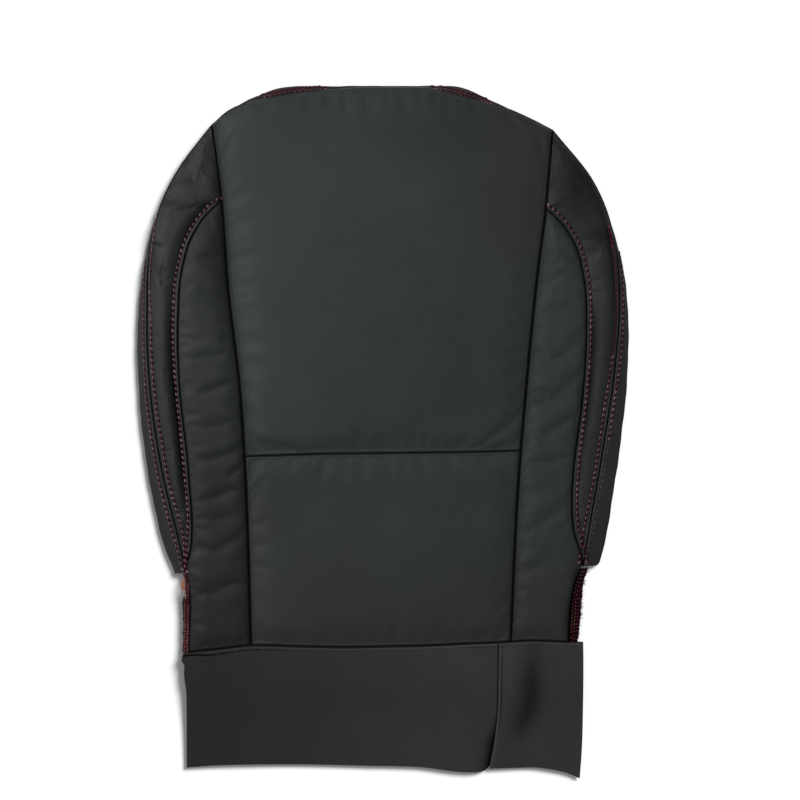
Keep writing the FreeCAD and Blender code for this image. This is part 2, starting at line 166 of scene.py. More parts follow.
def distanceTo(plan, path, step=0.0002):  # distance to a path, and how far along it the nearest place is
    dense = evenly(path, step)
    run = runLength(dense)
    tree = KDTree(len(dense))
    for i, (x, y) in enumerate(dense):
        tree.insert((x, y, 0), i)
    tree.balance()
    found = [tree.find((x, y, 0)) for x, y in plan]
    return np.array([f[2] for f in found]), run[np.array([f[1] for f in found])]


def seamPath(name, low, high, count=500):  # (x, y) along a named line, from low up to high
    ys = np.linspace(low, high, count)
    return np.stack([smoothLine(seams[name])(ys), ys], axis=1)


def smoothStep(value, low, high):
    t = np.clip((value - low) / (high - low), 0, 1)
    return t * t * (3 - 2 * t)


def bell(value, middle, width):
    return np.exp(-((value - middle) / width) ** 2)


# Meshes

def linked(name, data):
    made = bpy.data.objects.new(name, data)
    scene.collection.objects.link(made)
    return made


def meshPiece(name, points, edges, faces, smooth=True):
    mesh = bpy.data.meshes.new(name)
    mesh.from_pydata(points, edges, faces)
    if smooth:
        mesh.shade_smooth()
    return linked(name, mesh)


def gridFaces(shape):  # the numbers of the grid's points, and its faces
    index = np.arange(shape[0] * shape[1]).reshape(shape[:2])
    quads = np.stack([index[:-1, :-1], index[:-1, 1:], index[1:, 1:], index[1:, :-1]], axis=-1)
    return index, quads.reshape(-1, 4)


def gridMesh(name, grid, flip=False):  # grid is rows by columns by 3
    quads = gridFaces(grid.shape)[1]
    if flip:
        quads = quads[:, ::-1]
    return meshPiece(name, grid.reshape(-1, 3).tolist(), [], quads.tolist())


def closedMesh(name, plan, top, bottom):  # a solid over a plan, between two sheets of heights
    index, up = gridFaces(plan.shape)
    count = index.size
    rim = np.concatenate([index[0, :], index[1:, -1], index[-1, -2::-1], index[-2:0:-1, 0]])
    after = np.roll(rim, -1)
    walls = np.stack([rim + count, after + count, after, rim], axis=-1)
    faces = np.vstack([up, up[:, ::-1] + count, walls])
    points = np.vstack([np.dstack([plan, heights]).reshape(-1, 3) for heights in (top, bottom)])
    return meshPiece(name, points.tolist(), [], faces.tolist())


def dress(piece, material, **attributes):  # its material, and the numbers at its points that it reads
    for name, values in attributes.items():
        attribute = piece.data.attributes.new(name, "FLOAT", "POINT")
        attribute.data.foreach_set("value", np.asarray(values, np.float32).ravel())
    piece.data.materials.append(material)


def applied(piece):  # the mesh with its modifiers, as plain mesh
    graph = bpy.context.evaluated_depsgraph_get()
    made = piece.evaluated_get(graph)
    mesh = bpy.data.meshes.new_from_object(made, preserve_all_data_layers=True, depsgraph=graph)
    piece.modifiers.clear()
    piece.data = mesh
    piece.data.name = piece.name
    return piece


def thicken(piece, thickness):  # the sheet's thickness goes in, away from the side that shows
    wall = piece.modifiers.new("thickness", "SOLIDIFY")
    wall.thickness = thickness
    wall.offset = -1
    wall.use_even_offset = False
    return applied(piece)


def planArea(grid):
    a = grid[1:, 1:, :2] - grid[:-1, :-1, :2]
    b = grid[1:, :-1, :2] - grid[:-1, 1:, :2]
    return float(np.abs(a[..., 0] * b[..., 1] - a[..., 1] * b[..., 0]).sum() / 2)


def shares(near, middle, length):  # shares of a length: close together at both ends, then even
    near = np.array(near)
    squeeze = np.minimum(1, 0.4 * length / near[-1])[..., None]
    start = near * squeeze / length[..., None]
    inner = np.linspace(0, 1, middle + 2)[1:-1]
    low = start[..., -1:]
    return np.concatenate([start, low + (1 - 2 * low) * inner, 1 - start[..., ::-1]], axis=-1)


def patch(edges, nearSide, nearEnd, steps):  # plan of a four-sided piece, rows from foot to head
    left, right, foot, head = [edges[side] for side in ("left", "right", "foot", "head")]
    t = np.linspace(0, 1, 60)
    widths = np.linalg.norm(pointsAt(right, t) - pointsAt(left, t), axis=1)
    heights = np.linalg.norm(pointsAt(head, t) - pointsAt(foot, t), axis=1)
    middleAcross = max(2, int(widths.max() / steps[0]))
    middleAlong = max(2, int(runLength(left)[-1] / steps[1]))
    rowShare = shares(nearEnd, middleAlong, np.array([heights.mean()]))[0]
    columnShare = shares(nearSide, middleAcross, np.array([widths.mean()]))[0]
    u = shares(nearSide, middleAcross, np.interp(rowShare, t, widths))
    v = shares(nearEnd, middleAlong, np.interp(columnShare, t, heights)).T
    a, b, c, d = pointsAt(left, v), pointsAt(right, v), pointsAt(foot, u), pointsAt(head, u)
    u, v = u[..., None], v[..., None]
    corners = (1 - u) * (1 - v) * left[0] + u * (1 - v) * right[0]
    corners = corners + (1 - u) * v * left[-1] + u * v * right[-1]
    return (1 - u) * a + u * b + (1 - v) * c + v * d - corners


# Materials

def newMaterial(name):
    material = bpy.data.materials.new(name)
    material.use_nodes = True
    tree = material.node_tree
    tree.nodes.clear()
    output = tree.nodes.new("ShaderNodeOutputMaterial")
    shader = tree.nodes.new("ShaderNodeBsdfPrincipled")
    tree.links.new(shader.outputs["BSDF"], output.inputs["Surface"])
    return material, tree, shader


def setInputs(tree, made, inputs):  # a socket is linked and any other value is set
    for key, value in inputs.items():
        socket = made.inputs[key]
        if isinstance(value, bpy.types.NodeSocket):
            tree.links.new(value, socket)
        else:
            socket.default_value = value


def node(tree, kind, settings=None, **inputs):  # i0, i1 and so on are inputs by number
    made = tree.nodes.new(kind)
    for key, value in (settings or {}).items():
        setattr(made, key, value)
    keys = [int(key[1:]) if key[1:].isdigit() else key for key in inputs]
    setInputs(tree, made, dict(zip(keys, inputs.values())))
    return made


def noise(tree, place, scale, detail=2.0, roughness=0.5, distortion=0.0):
    made = node(tree, "ShaderNodeTexNoise", None, Vector=place, Scale=scale, Detail=detail,
                Roughness=roughness, Distortion=distortion)
    return made.outputs["Fac"]


def mixed(tree, share, low, high):  # a colour or number between two
    made = node(tree, "ShaderNodeMix", {"data_type": "RGBA"}, i0=share, i6=low, i7=high)
    return made.outputs[2]


def ranged(tree, value, fromLow, fromHigh, toLow, toHigh):
    made = node(tree, "ShaderNodeMapRange", None, i0=value, i1=fromLow, i2=fromHigh, i3=toLow, i4=toHigh)
    return made.outputs[0]


def maths(tree, operation, first, second=0.0):
    return node(tree, "ShaderNodeMath", {"operation": operation}, i0=first, i1=second).outputs[0]


def weighted(tree, first, share, second, otherShare):  # the sum of two values, each times its share
    one = maths(tree, "MULTIPLY", first, share)
    return maths(tree, "ADD", one, maths(tree, "MULTIPLY", second, otherShare))


def bumped(tree, height, strength, distance):
    made = node(tree, "ShaderNodeBump", None, Strength=strength, Distance=distance, Height=height)
    return made.outputs["Normal"]


def leatherMaterial(name, look):  # coated cloth with a fine pebbled grain
    material, tree, shader = newMaterial(name)
    place = node(tree, "ShaderNodeTexCoord").outputs["Object"]
    warp = noise(tree, place, 300.0)
    bent = node(tree, "ShaderNodeVectorMath", {"operation": "MULTIPLY_ADD"},
                i0=warp, i1=(0.0006, 0.0006, 0.0006), i2=place).outputs[0]
    pebbles = node(tree, "ShaderNodeTexVoronoi", {"feature": "DISTANCE_TO_EDGE"}, Vector=bent,
                   Scale=look["grain"]).outputs["Distance"]
    pebble = ranged(tree, pebbles, 0.0, 0.35, 0.0, 1.0)
    fine = noise(tree, place, 2600.0, 3.0, 0.6)
    broad = noise(tree, place, 5.5, 3.0, 0.55)
    blotch = noise(tree, place, 34.0, 3.0, 0.6)
    lines = noise(tree, bent, 210.0, 4.0, 0.7, 0.6)
    mottle = noise(tree, place, 420.0, 2.0, 0.6)
    tone = weighted(tree, broad, 0.65, blotch, 0.35)
    tone = maths(tree, "ADD", tone, maths(tree, "MULTIPLY", maths(tree, "SUBTRACT", mottle, 0.5), 0.30))
    colour = mixed(tree, ranged(tree, tone, 0.36, 0.64, 0.0, 1.0), look["dark"], look["light"])
    if "low" in look:  # plainer towards the foot, and where asked in the upper right corner
        parts = node(tree, "ShaderNodeSeparateXYZ", None, Vector=place)
        spread = maths(tree, "MULTIPLY", broad, 0.12)
        height = maths(tree, "ADD", parts.outputs["Y"], spread)
        across = maths(tree, "ADD", parts.outputs["X"], spread)
        corner = maths(tree, "MULTIPLY", ranged(tree, across, 0.13, 0.19, 0.0, look.get("corner", 0.0)),
                       ranged(tree, height, 0.18, 0.28, 0.0, 1.0))
        plain = maths(tree, "MAXIMUM", ranged(tree, height, -0.14, 0.02, 0.85, 0.0), corner)
        colour = mixed(tree, plain, colour, look["low"])
    colour = mixed(tree, ranged(tree, pebble, 0.0, 0.5, 0.35, 0.0), colour, (0.004, 0.004, 0.0045, 1))
    crease, wear = [node(tree, "ShaderNodeAttribute", {"attribute_name": attribute}).outputs["Fac"]
                    for attribute in ("crease", "wear")]
    # painted highlight: lighter along ledges and ridges where the wear attribute is high
    colour = mixed(tree, maths(tree, "MULTIPLY", wear, 0.5), colour, look["highlight"])
    # painted shade: near-black colour and no specular reflection where the crease attribute is high
    colour = mixed(tree, crease, colour, (0.0012, 0.0012, 0.0014, 1))
    rough = ranged(tree, blotch, 0.3, 0.7, look["rough"] - 0.05, look["rough"] + 0.05)
    rough = maths(tree, "ADD", rough, maths(tree, "MULTIPLY", crease, 0.35))
    height = maths(tree, "ADD", weighted(tree, pebble, 0.65, fine, 0.2), maths(tree, "MULTIPLY", lines, 0.5))
    setInputs(tree, shader, {
        "Normal": bumped(tree, height, look["bump"], 0.00012), "Base Color": colour, "Roughness": rough,
        "Specular Tint": mixed(tree, crease, (1, 1, 1, 1), (0, 0, 0, 1)), "Specular IOR Level": look["shine"],
        "Sheen Weight": look["sheen"], "Sheen Roughness": 0.45,
    })
    return material


def threadMaterial(name, dark, light, tint, fleck=180.0):  # sewing thread, whose colour wanders along the row
    material, tree, shader = newMaterial(name)
    place = node(tree, "ShaderNodeTexCoord").outputs["Object"]
    twist = node(tree, "ShaderNodeTexWave", {"bands_direction": "DIAGONAL"}, Vector=place, Scale=620.0,
                 Distortion=1.2, Detail=1.0).outputs["Fac"]
    patchy = noise(tree, place, fleck)
    wander = noise(tree, place, 26.0)
    share = weighted(tree, twist, 0.4, patchy, 0.6)
    pale = mixed(tree, ranged(tree, wander, 0.42, 0.62, 0.0, 1.0), light, tint)
    colour = mixed(tree, ranged(tree, share, 0.25, 0.75, 0.0, 1.0), dark, pale)
    setInputs(tree, shader, {"Normal": bumped(tree, twist, 0.5, 0.0001), "Base Color": colour,
                             "Roughness": 0.7, "Specular IOR Level": 0.06})
    return material


def foamMaterial(name, dark, light, scale):  # open cells
    material, tree, shader = newMaterial(name)
    place = node(tree, "ShaderNodeTexCoord").outputs["Object"]
    cells = node(tree, "ShaderNodeTexVoronoi", {"feature": "F1"}, Vector=place, Scale=scale)
    cells = cells.outputs["Distance"]
    colour = mixed(tree, ranged(tree, cells, 0.1, 0.6, 0.0, 1.0), dark, light)
    relief = bumped(tree, cells, 0.8, 0.0004)
    setInputs(tree, shader, {"Normal": relief, "Base Color": colour, "Roughness": 0.9})
    return material


def clothMaterial(name, dark, light, pitch):  # plain knitted or woven backing
    material, tree, shader = newMaterial(name)
    place = node(tree, "ShaderNodeTexCoord").outputs["Object"]
    bands = [node(tree, "ShaderNodeTexWave", {"bands_direction": way}, Vector=place, Scale=pitch,
                  Distortion=1.0).outputs["Fac"] for way in ("X", "Y")]
    weave = maths(tree, "MULTIPLY", *bands)
    fuzz = noise(tree, place, 90.0, 4.0, 0.7)
    colour = mixed(tree, weighted(tree, weave, 0.6, fuzz, 0.4), dark, light)
    setInputs(tree, shader, {"Normal": bumped(tree, weave, 0.5, 0.0002), "Base Color": colour,
                             "Roughness": 0.85, "Sheen Weight": 0.2})
    return material


leatherLook = {
    "face": {
        "dark": (0.027, 0.0325, 0.035, 1), "light": (0.0365, 0.0475, 0.0485, 1),
        "low": (0.031, 0.0325, 0.0355, 1), "corner": 0.8,
    },
    # The left bolster and wing are a darker, shaded copy and the right ones a lighter, lit copy of the same
    # leatherette: painted shade and painted light
    "leftBolster": {
        "dark": (0.0115, 0.0145, 0.016, 1), "light": (0.017, 0.0215, 0.0228, 1),
        "low": (0.014, 0.0145, 0.0162, 1),
    },
    "rightBolster": {
        "dark": (0.0285, 0.0352, 0.0371, 1), "light": (0.0398, 0.0502, 0.0518, 1),
        "low": (0.032, 0.0335, 0.0362, 1),
    },
    "leftWing": {"dark": (0.015, 0.0165, 0.0178, 1), "light": (0.022, 0.0245, 0.0252, 1)},
    "rightWing": {"dark": (0.0222, 0.024, 0.026, 1), "light": (0.0305, 0.0336, 0.0352, 1)},
    "gusset": {"dark": (0.0205, 0.02, 0.0182, 1), "light": (0.031, 0.0302, 0.0275, 1), "rough": 0.52},
    "flap": {
        "dark": (0.043, 0.043, 0.047, 1), "light": (0.0515, 0.0518, 0.0562, 1),
        "highlight": (0.15, 0.15, 0.155, 1), "grain": 1250.0, "bump": 0.5, "shine": 0.28,
    },
}
usualLeather = {
    "highlight": (0.085, 0.087, 0.086, 1), "grain": 1150.0, "rough": 0.5, "bump": 0.6, "shine": 0.3, "sheen": 0.05,
}
leather = {name: leatherMaterial(name + "Leather", dict(usualLeather, **look))
           for name, look in leatherLook.items()}
threadLook = {
    "roseThread": [(0.25, 0.09, 0.115, 1), (0.68, 0.58, 0.575, 1), (0.51, 0.31, 0.335, 1)],
    "crimsonThread": [(0.23, 0.06, 0.095, 1), (0.64, 0.49, 0.5, 1), (0.46, 0.22, 0.265, 1)],
    "peachThread": [(0.24, 0.12, 0.105, 1), (0.64, 0.46, 0.38, 1), (0.54, 0.3, 0.25, 1)],
    "greyThread": [(0.03, 0.025, 0.027, 1), (0.2, 0.19, 0.195, 1), (0.11, 0.088, 0.096, 1)],
    "maroonThread": [(0.045, 0.0045, 0.013, 1), (0.125, 0.014, 0.038, 1), (0.095, 0.011, 0.028, 1)],
    "plumThread": [(0.03, 0.0035, 0.0095, 1), (0.085, 0.013, 0.03, 1), (0.062, 0.01, 0.021, 1)],
    "redThread": [(0.06, 0.008, 0.014, 1), (0.34, 0.12, 0.14, 1), (0.19, 0.032, 0.05, 1), 320.0],
    "salmonThread": [(0.1, 0.018, 0.022, 1), (0.52, 0.25, 0.23, 1), (0.27, 0.062, 0.068, 1), 320.0],
    "wedgeThread": [(0.04, 0.01, 0.014, 1), (0.33, 0.17, 0.175, 1), (0.17, 0.05, 0.062, 1), 320.0],
    "bloodThread": [(0.006, 0.0015, 0.003, 1), (0.26, 0.085, 0.1, 1), (0.06, 0.01, 0.017, 1), 420.0],
    "copperThread": [(0.006, 0.003, 0.002, 1), (0.26, 0.11, 0.06, 1), (0.08, 0.022, 0.012, 1), 420.0],
    "duskThread": [(0.05, 0.034, 0.034, 1), (0.33, 0.245, 0.23, 1), (0.13, 0.082, 0.08, 1), 420.0],
    "paleThread": [(0.2, 0.13, 0.13, 1), (0.62, 0.52, 0.5, 1), (0.45, 0.3, 0.3, 1), 320.0],
    "holeShade": [(0.003, 0.0015, 0.002, 1), (0.01, 0.0035, 0.005, 1), (0.006, 0.002, 0.003, 1)],
}
yarn = {name: threadMaterial(name, *tones) for name, tones in threadLook.items()}
padFoam = foamMaterial("padFoam", (0.30, 0.17, 0.08, 1), (0.62, 0.42, 0.24, 1), 900.0)
scrapFoam = foamMaterial("scrapFoam", (0.20, 0.030, 0.005, 1), (0.62, 0.20, 0.06, 1), 700.0)
backingCloth = clothMaterial("backingCloth", (0.05, 0.05, 0.052, 1), (0.16, 0.16, 0.165, 1), 500.0)
backCloth = clothMaterial("backCloth", (0.012, 0.012, 0.013, 1), (0.034, 0.034, 0.036, 1), 420.0)
print("materials made")


# The six padded panels

def foldHeights(plan, folds):  # soft creases laid one by one: each dips along its line and swells beside it
    total = np.zeros(len(plan))
    for one in folds:
        path = curveThrough(one["line"], 16)
        away, along = distanceTo(plan, path, 0.001)
        span = runLength(path)[-1]
        direction = path[-1] - path[0]
        direction = direction / np.linalg.norm(direction)
        rel = plan - path[0]
        signed = away * np.sign(direction[0] * rel[:, 1] - direction[1] * rel[:, 0])
        width = one["width"]
        ends = smoothStep(along, 0, 0.35 * span) * (1 - smoothStep(along, 0.8 * span, span) * one["fade"])
        ends = ends * np.exp(-np.maximum(0, away - 3 * width) ** 2 / width ** 2)
        beside = bell(signed, 1.9 * width, 1.4 * width)
        total += one["depth"] * ends * (0.5 * beside - bell(signed, 0, width))
    return total


def mound(plan, x, y, reachX, reachY, height):  # a broad low swell, or a hollow or a soft shadow
    return height * np.exp(-((plan[:, 0] - x) / reachX) ** 2 - ((plan[:, 1] - y) / reachY) ** 2)


def panelHeights(plan, panel):  # height of the face, its painted shade (seams, troughs and shade patches) and its painted highlight
    rolled, risen = np.ones(len(plan)), np.ones(len(plan))
    nearest = np.full(len(plan), 9.0)
    channel, dark, wear, hills = np.zeros((4, len(plan)))
    for side, edge in panel["sewn"].items():
        away, along = distanceTo(plan, panel["edges"][side])
        nearest = np.minimum(nearest, away / edge["groove"])
        t = np.clip(away / edge["roll"], 0, 1)
        rolled *= np.sqrt(np.clip(1 - (1 - t) ** 2, 0, 1))
        on = 1.0
        if "stitch" in edge:
            on = smoothStep(along, *edge["from"]) * (1 - smoothStep(along, *edge["to"]))
            beat = 1 + 0.28 * np.cos(2 * math.pi * along / stitchPitch)
            channel += edge["dip"] * on * beat * bell(away, edge["stitch"], 0.0013)
            # painted highlight on the ledge between the seam and the row of thread
            wear += on * edge["pale"] * bell(away, edge["stitch"] * 0.46, 0.0010)
        if "trough" in edge:
            trough = edge["trough"]
            start = smoothLine(trough["at"])(plan[:, 1])
            strength = np.clip(smoothLine(trough["dark"])(plan[:, 1]), 0, 1)
            # painted shade in the hollow beyond the row, fading outwards
            shadow = smoothStep(away, start - 0.0011, start + 0.0005)
            shadow *= np.clip(1 - (away - start) / trough["reach"], 0, 1)
            dark = np.maximum(dark, strength * shadow)
            channel += trough["depth"] * strength * bell(away - start, 0.0012, 0.0030)
        # painted shade: a dark gradient beside the seam, on the side that slopes away from the light
        if "shade" in edge:
            strength, reach = edge["shade"]
            dark = np.maximum(dark, strength * np.clip(1 - (away - 0.0012) / reach, 0, 1) ** 1.5)
        t = np.clip((away - edge["ledge"] * on) / edge["shoulder"], 0, 1)
        risen *= 1 - (1 - t) ** 2.2
    z = levels["groove"] + (levels["ledge"] - levels["groove"]) * rolled
    for hill in panel["hills"]:
        hills += mound(plan, *hill)
    z += (panel["rise"] + hills) * risen
    z += foldHeights(plan, panel["folds"]) * smoothStep(risen, 0.02, 0.5) - channel
    # painted shade patches
    for shade in panel["shades"]:
        dark = 1 - (1 - dark) * (1 - mound(plan, *shade))
    # painted shade deep in each seam's groove, merged with the shade painted beside the rows and in patches
    crease = np.maximum((1 - smoothStep(nearest, 0.45, 1.0)) * 0.98, dark)
    return z, crease, wear


def meshPoints(piece):
    return np.array([v.co for v in piece.data.vertices])


def swell(piece, shape, settings):  # the panel puffs a little under pressure, held along its seams
    held = np.zeros(shape)
    ring = settings["ring"]
    held[:ring], held[-ring:], held[:, :ring], held[:, -ring:] = 1, 1, 1, 1
    start = meshPoints(piece)
    group = piece.vertex_groups.new(name="sewn")
    group.add(np.flatnonzero(held.ravel()).tolist(), 1.0, "REPLACE")
    cloth = piece.modifiers.new("swell", "CLOTH")
    stuff = cloth.settings
    stuff.quality = 5
    stuff.mass = 0.25
    stuff.tension_stiffness = stuff.compression_stiffness = settings["stiffness"]
    stuff.shear_stiffness = settings["stiffness"] / 2
    stuff.bending_stiffness = settings["bending"]
    stuff.air_damping = 3
    stuff.vertex_group_mass = "sewn"
    stuff.use_pressure = True
    stuff.uniform_pressure_force = settings["pressure"]
    stuff.shrink_min = stuff.shrink_max = -settings["slack"]
    stuff.effector_weights.gravity = 0
    cloth.collision_settings.use_collision = False
    cloth.collision_settings.use_self_collision = False
    cloth.point_cache.frame_end = settings["frames"]
    for step in range(1, settings["frames"] + 1):
        scene.frame_set(step)
    moved = meshPoints(piece.evaluated_get(bpy.context.evaluated_depsgraph_get()))
    piece.modifiers.clear()
    piece.vertex_groups.clear()
    scene.frame_set(1)
    shift = moved - start
    size = np.linalg.norm(shift, axis=1)
    cap = settings["cap"]
    shift *= (cap * np.tanh(size / cap) / np.maximum(size, 1e-9))[:, None]
    shift[:, 2] -= shift[:, 2].mean()
    shift *= (1 - held.ravel())[:, None]
    piece.data.vertices.foreach_set("co", (start + shift).astype(np.float32).ravel())
    piece.data.update()


stitchPitch = 0.0061
nearSeam = [0, 0.0003, 0.0007, 0.0012, 0.0018, 0.0026, 0.0036, 0.0048, 0.0062, 0.008, 0.0105, 0.0135, 0.017]
nearStitch = [
    0, 0.0003, 0.0007, 0.0012, 0.0018, 0.0026, 0.0034, 0.004, 0.0046, 0.0052, 0.006, 0.0072, 0.009, 0.0115,
    0.0145]
plainSeam = {"groove": 0.0016, "roll": 0.0026, "ledge": 0.0004, "shoulder": 0.015}
wideSeam = {"groove": 0.0014, "roll": 0.0026, "ledge": 0.0004, "shoulder": 0.028}
thinSeam = {"groove": 0.001, "roll": 0.002, "ledge": 0.0003, "shoulder": 0.02}
sideSeam = {"groove": 0.0012, "roll": 0.002, "ledge": 0.0003, "shoulder": 0.014}

hemAt = smoothLine(seams["hem"])


def meetHem(name):  # height at which a sewn line reaches the hem
    at = smoothLine(seams[name])
    y = -0.225
    for _ in range(6):
        y = float(hemAt(at(y)))
    return y


def hemBetween(left, right):
    xs = np.linspace(left, right, 200)
    return np.stack([xs, hemAt(xs)], axis=1)


def archPath():  # along the top of the upper panel, from left to right
    parts = []
    for side in ("Left", "Right"):
        corner = seams["corner" + side]
        ys = corner + (seams["topEdge"] - corner) * np.sin(np.linspace(0, math.pi / 2, 200))
        parts.append(np.stack([smoothLine(seams["arch" + side])(ys), ys], axis=1))
    return np.vstack([parts[0], parts[1][::-1]])


def panelEdges():
    upper, lower = {"head": archPath()}, {}
    for side in ("Left", "Right"):
        key, middle, cross = side.lower(), "centre" + side, seams["cross" + side]
        upper[key] = seamPath(middle, cross, seams["corner" + side])
        lower[key] = seamPath(middle, meetHem(middle), cross)
    ends = [upper["left"][0], upper["right"][0]]
    upper["foot"] = lower["head"] = curveThrough([ends[0], *seams["cross"], ends[1]])
    lower["foot"] = hemBetween(lower["left"][0][0], lower["right"][0][0])
    edges = {"upper_centre": upper, "lower_centre": lower}
    for side in ("Left", "Right"):
        middle, bend, rim = "centre" + side, "curve" + side, "rim" + side
        split, corner = seams["split" + side], seams["corner" + side]
        tip = split - 0.0012
        inner, outer = seamPath(middle, meetHem(middle), tip), seamPath(bend, meetHem(bend), tip)
        wingTop = corner - 0.0022
        wingFoot = seams[rim][-1][0] + 0.0015
        aboveSplit = seamPath(middle, split + 0.0005, wingTop, 120)
        wingInner = np.vstack([seamPath(bend, wingFoot, split, 400), aboveSplit])
        wingOuter = seamPath(rim, wingFoot, wingTop)
        for name, far, near in (("_bolster", outer, inner), ("_wing", wingOuter, wingInner)):
            a, b = (far, near) if side == "Left" else (near, far)
            edges[side.lower() + name] = {"left": a, "right": b, "head": np.array([a[-1], b[-1]]),
                                          "foot": np.array([a[0], b[0]])}
        bolster = edges[side.lower() + "_bolster"]
        bolster["foot"] = hemBetween(bolster["left"][0][0], bolster["right"][0][0])
    return edges


def fold(*numbers, fade=1.0):  # depth and width, then the points of its line, all in millimetres
    (depth, width), *line = pairs(*numbers)
    return {"line": line, "depth": 0.85 * depth, "width": 1.15 * width, "fade": fade}


# pale is the strength of the painted highlight on the ledge beside the seam
curveStitch = {
    "stitch": 0.0042, "dip": 0.0006, "ledge": 0.006, "groove": 0.0012, "roll": 0.0016, "pale": 0.4,
    "shoulder": 0.012, "from": (0.0, 0.004),
}
rimStitch = {
    "stitch": 0.0042, "dip": 0.0004, "ledge": 0.0056, "groove": 0.001, "roll": 0.0014, "pale": 0.35,
    "shoulder": 0.015, "from": (0.0, 0.006), "to": (0.345, 0.352),
}
# Hollow beyond the row of thread, darkened with painted shade: where it starts beside the seam and how dark
# its painted shade is, by height
leftTrough = {
    "at": pairs(-142, 5, -85, 4, -30, 4.6, 35, 3.9, 90, 5, 240, 5.2),
    "dark": [
        (-0.11, 0.0), (-0.085, 0.1), (-0.062, 0.66), (-0.03, 0.98), (0.01, 0.99), (0.05, 0.98), (0.08, 0.9),
        (0.105, 0.74), (0.135, 0.5), (0.165, 0.36), (0.2, 0.44), (0.228, 0.7), (0.238, 0.6), (0.2435, 0.0),
        (0.26, 0.0)],
    "reach": 0.0096, "depth": 0.001,
}
rightTrough = {
    "at": pairs(-136, 6.4, -80, 6.6, -20, 6, 25, 5.4, 80, 6, 240, 6.2),
    "dark": [
        (-0.09, 0.0), (-0.06, 0.12), (-0.03, 0.34), (0.0, 0.54), (0.03, 0.64), (0.065, 0.68), (0.098, 0.6),
        (0.125, 0.28), (0.145, 0.05), (0.16, 0.0)],
    "reach": 0.008, "depth": 0.0006,
}
# along the right wing's rim there is no hollow, only painted shade
rimShade = {
    "at": pairs(-100, 6, 200, 4.2),
    "dark": [(0.02, 0.0), (0.06, 0.1), (0.1, 0.28), (0.14, 0.5), (0.18, 0.58), (0.215, 0.45), (0.24, 0.2)],
    "reach": 0.008, "depth": 0.0,
}
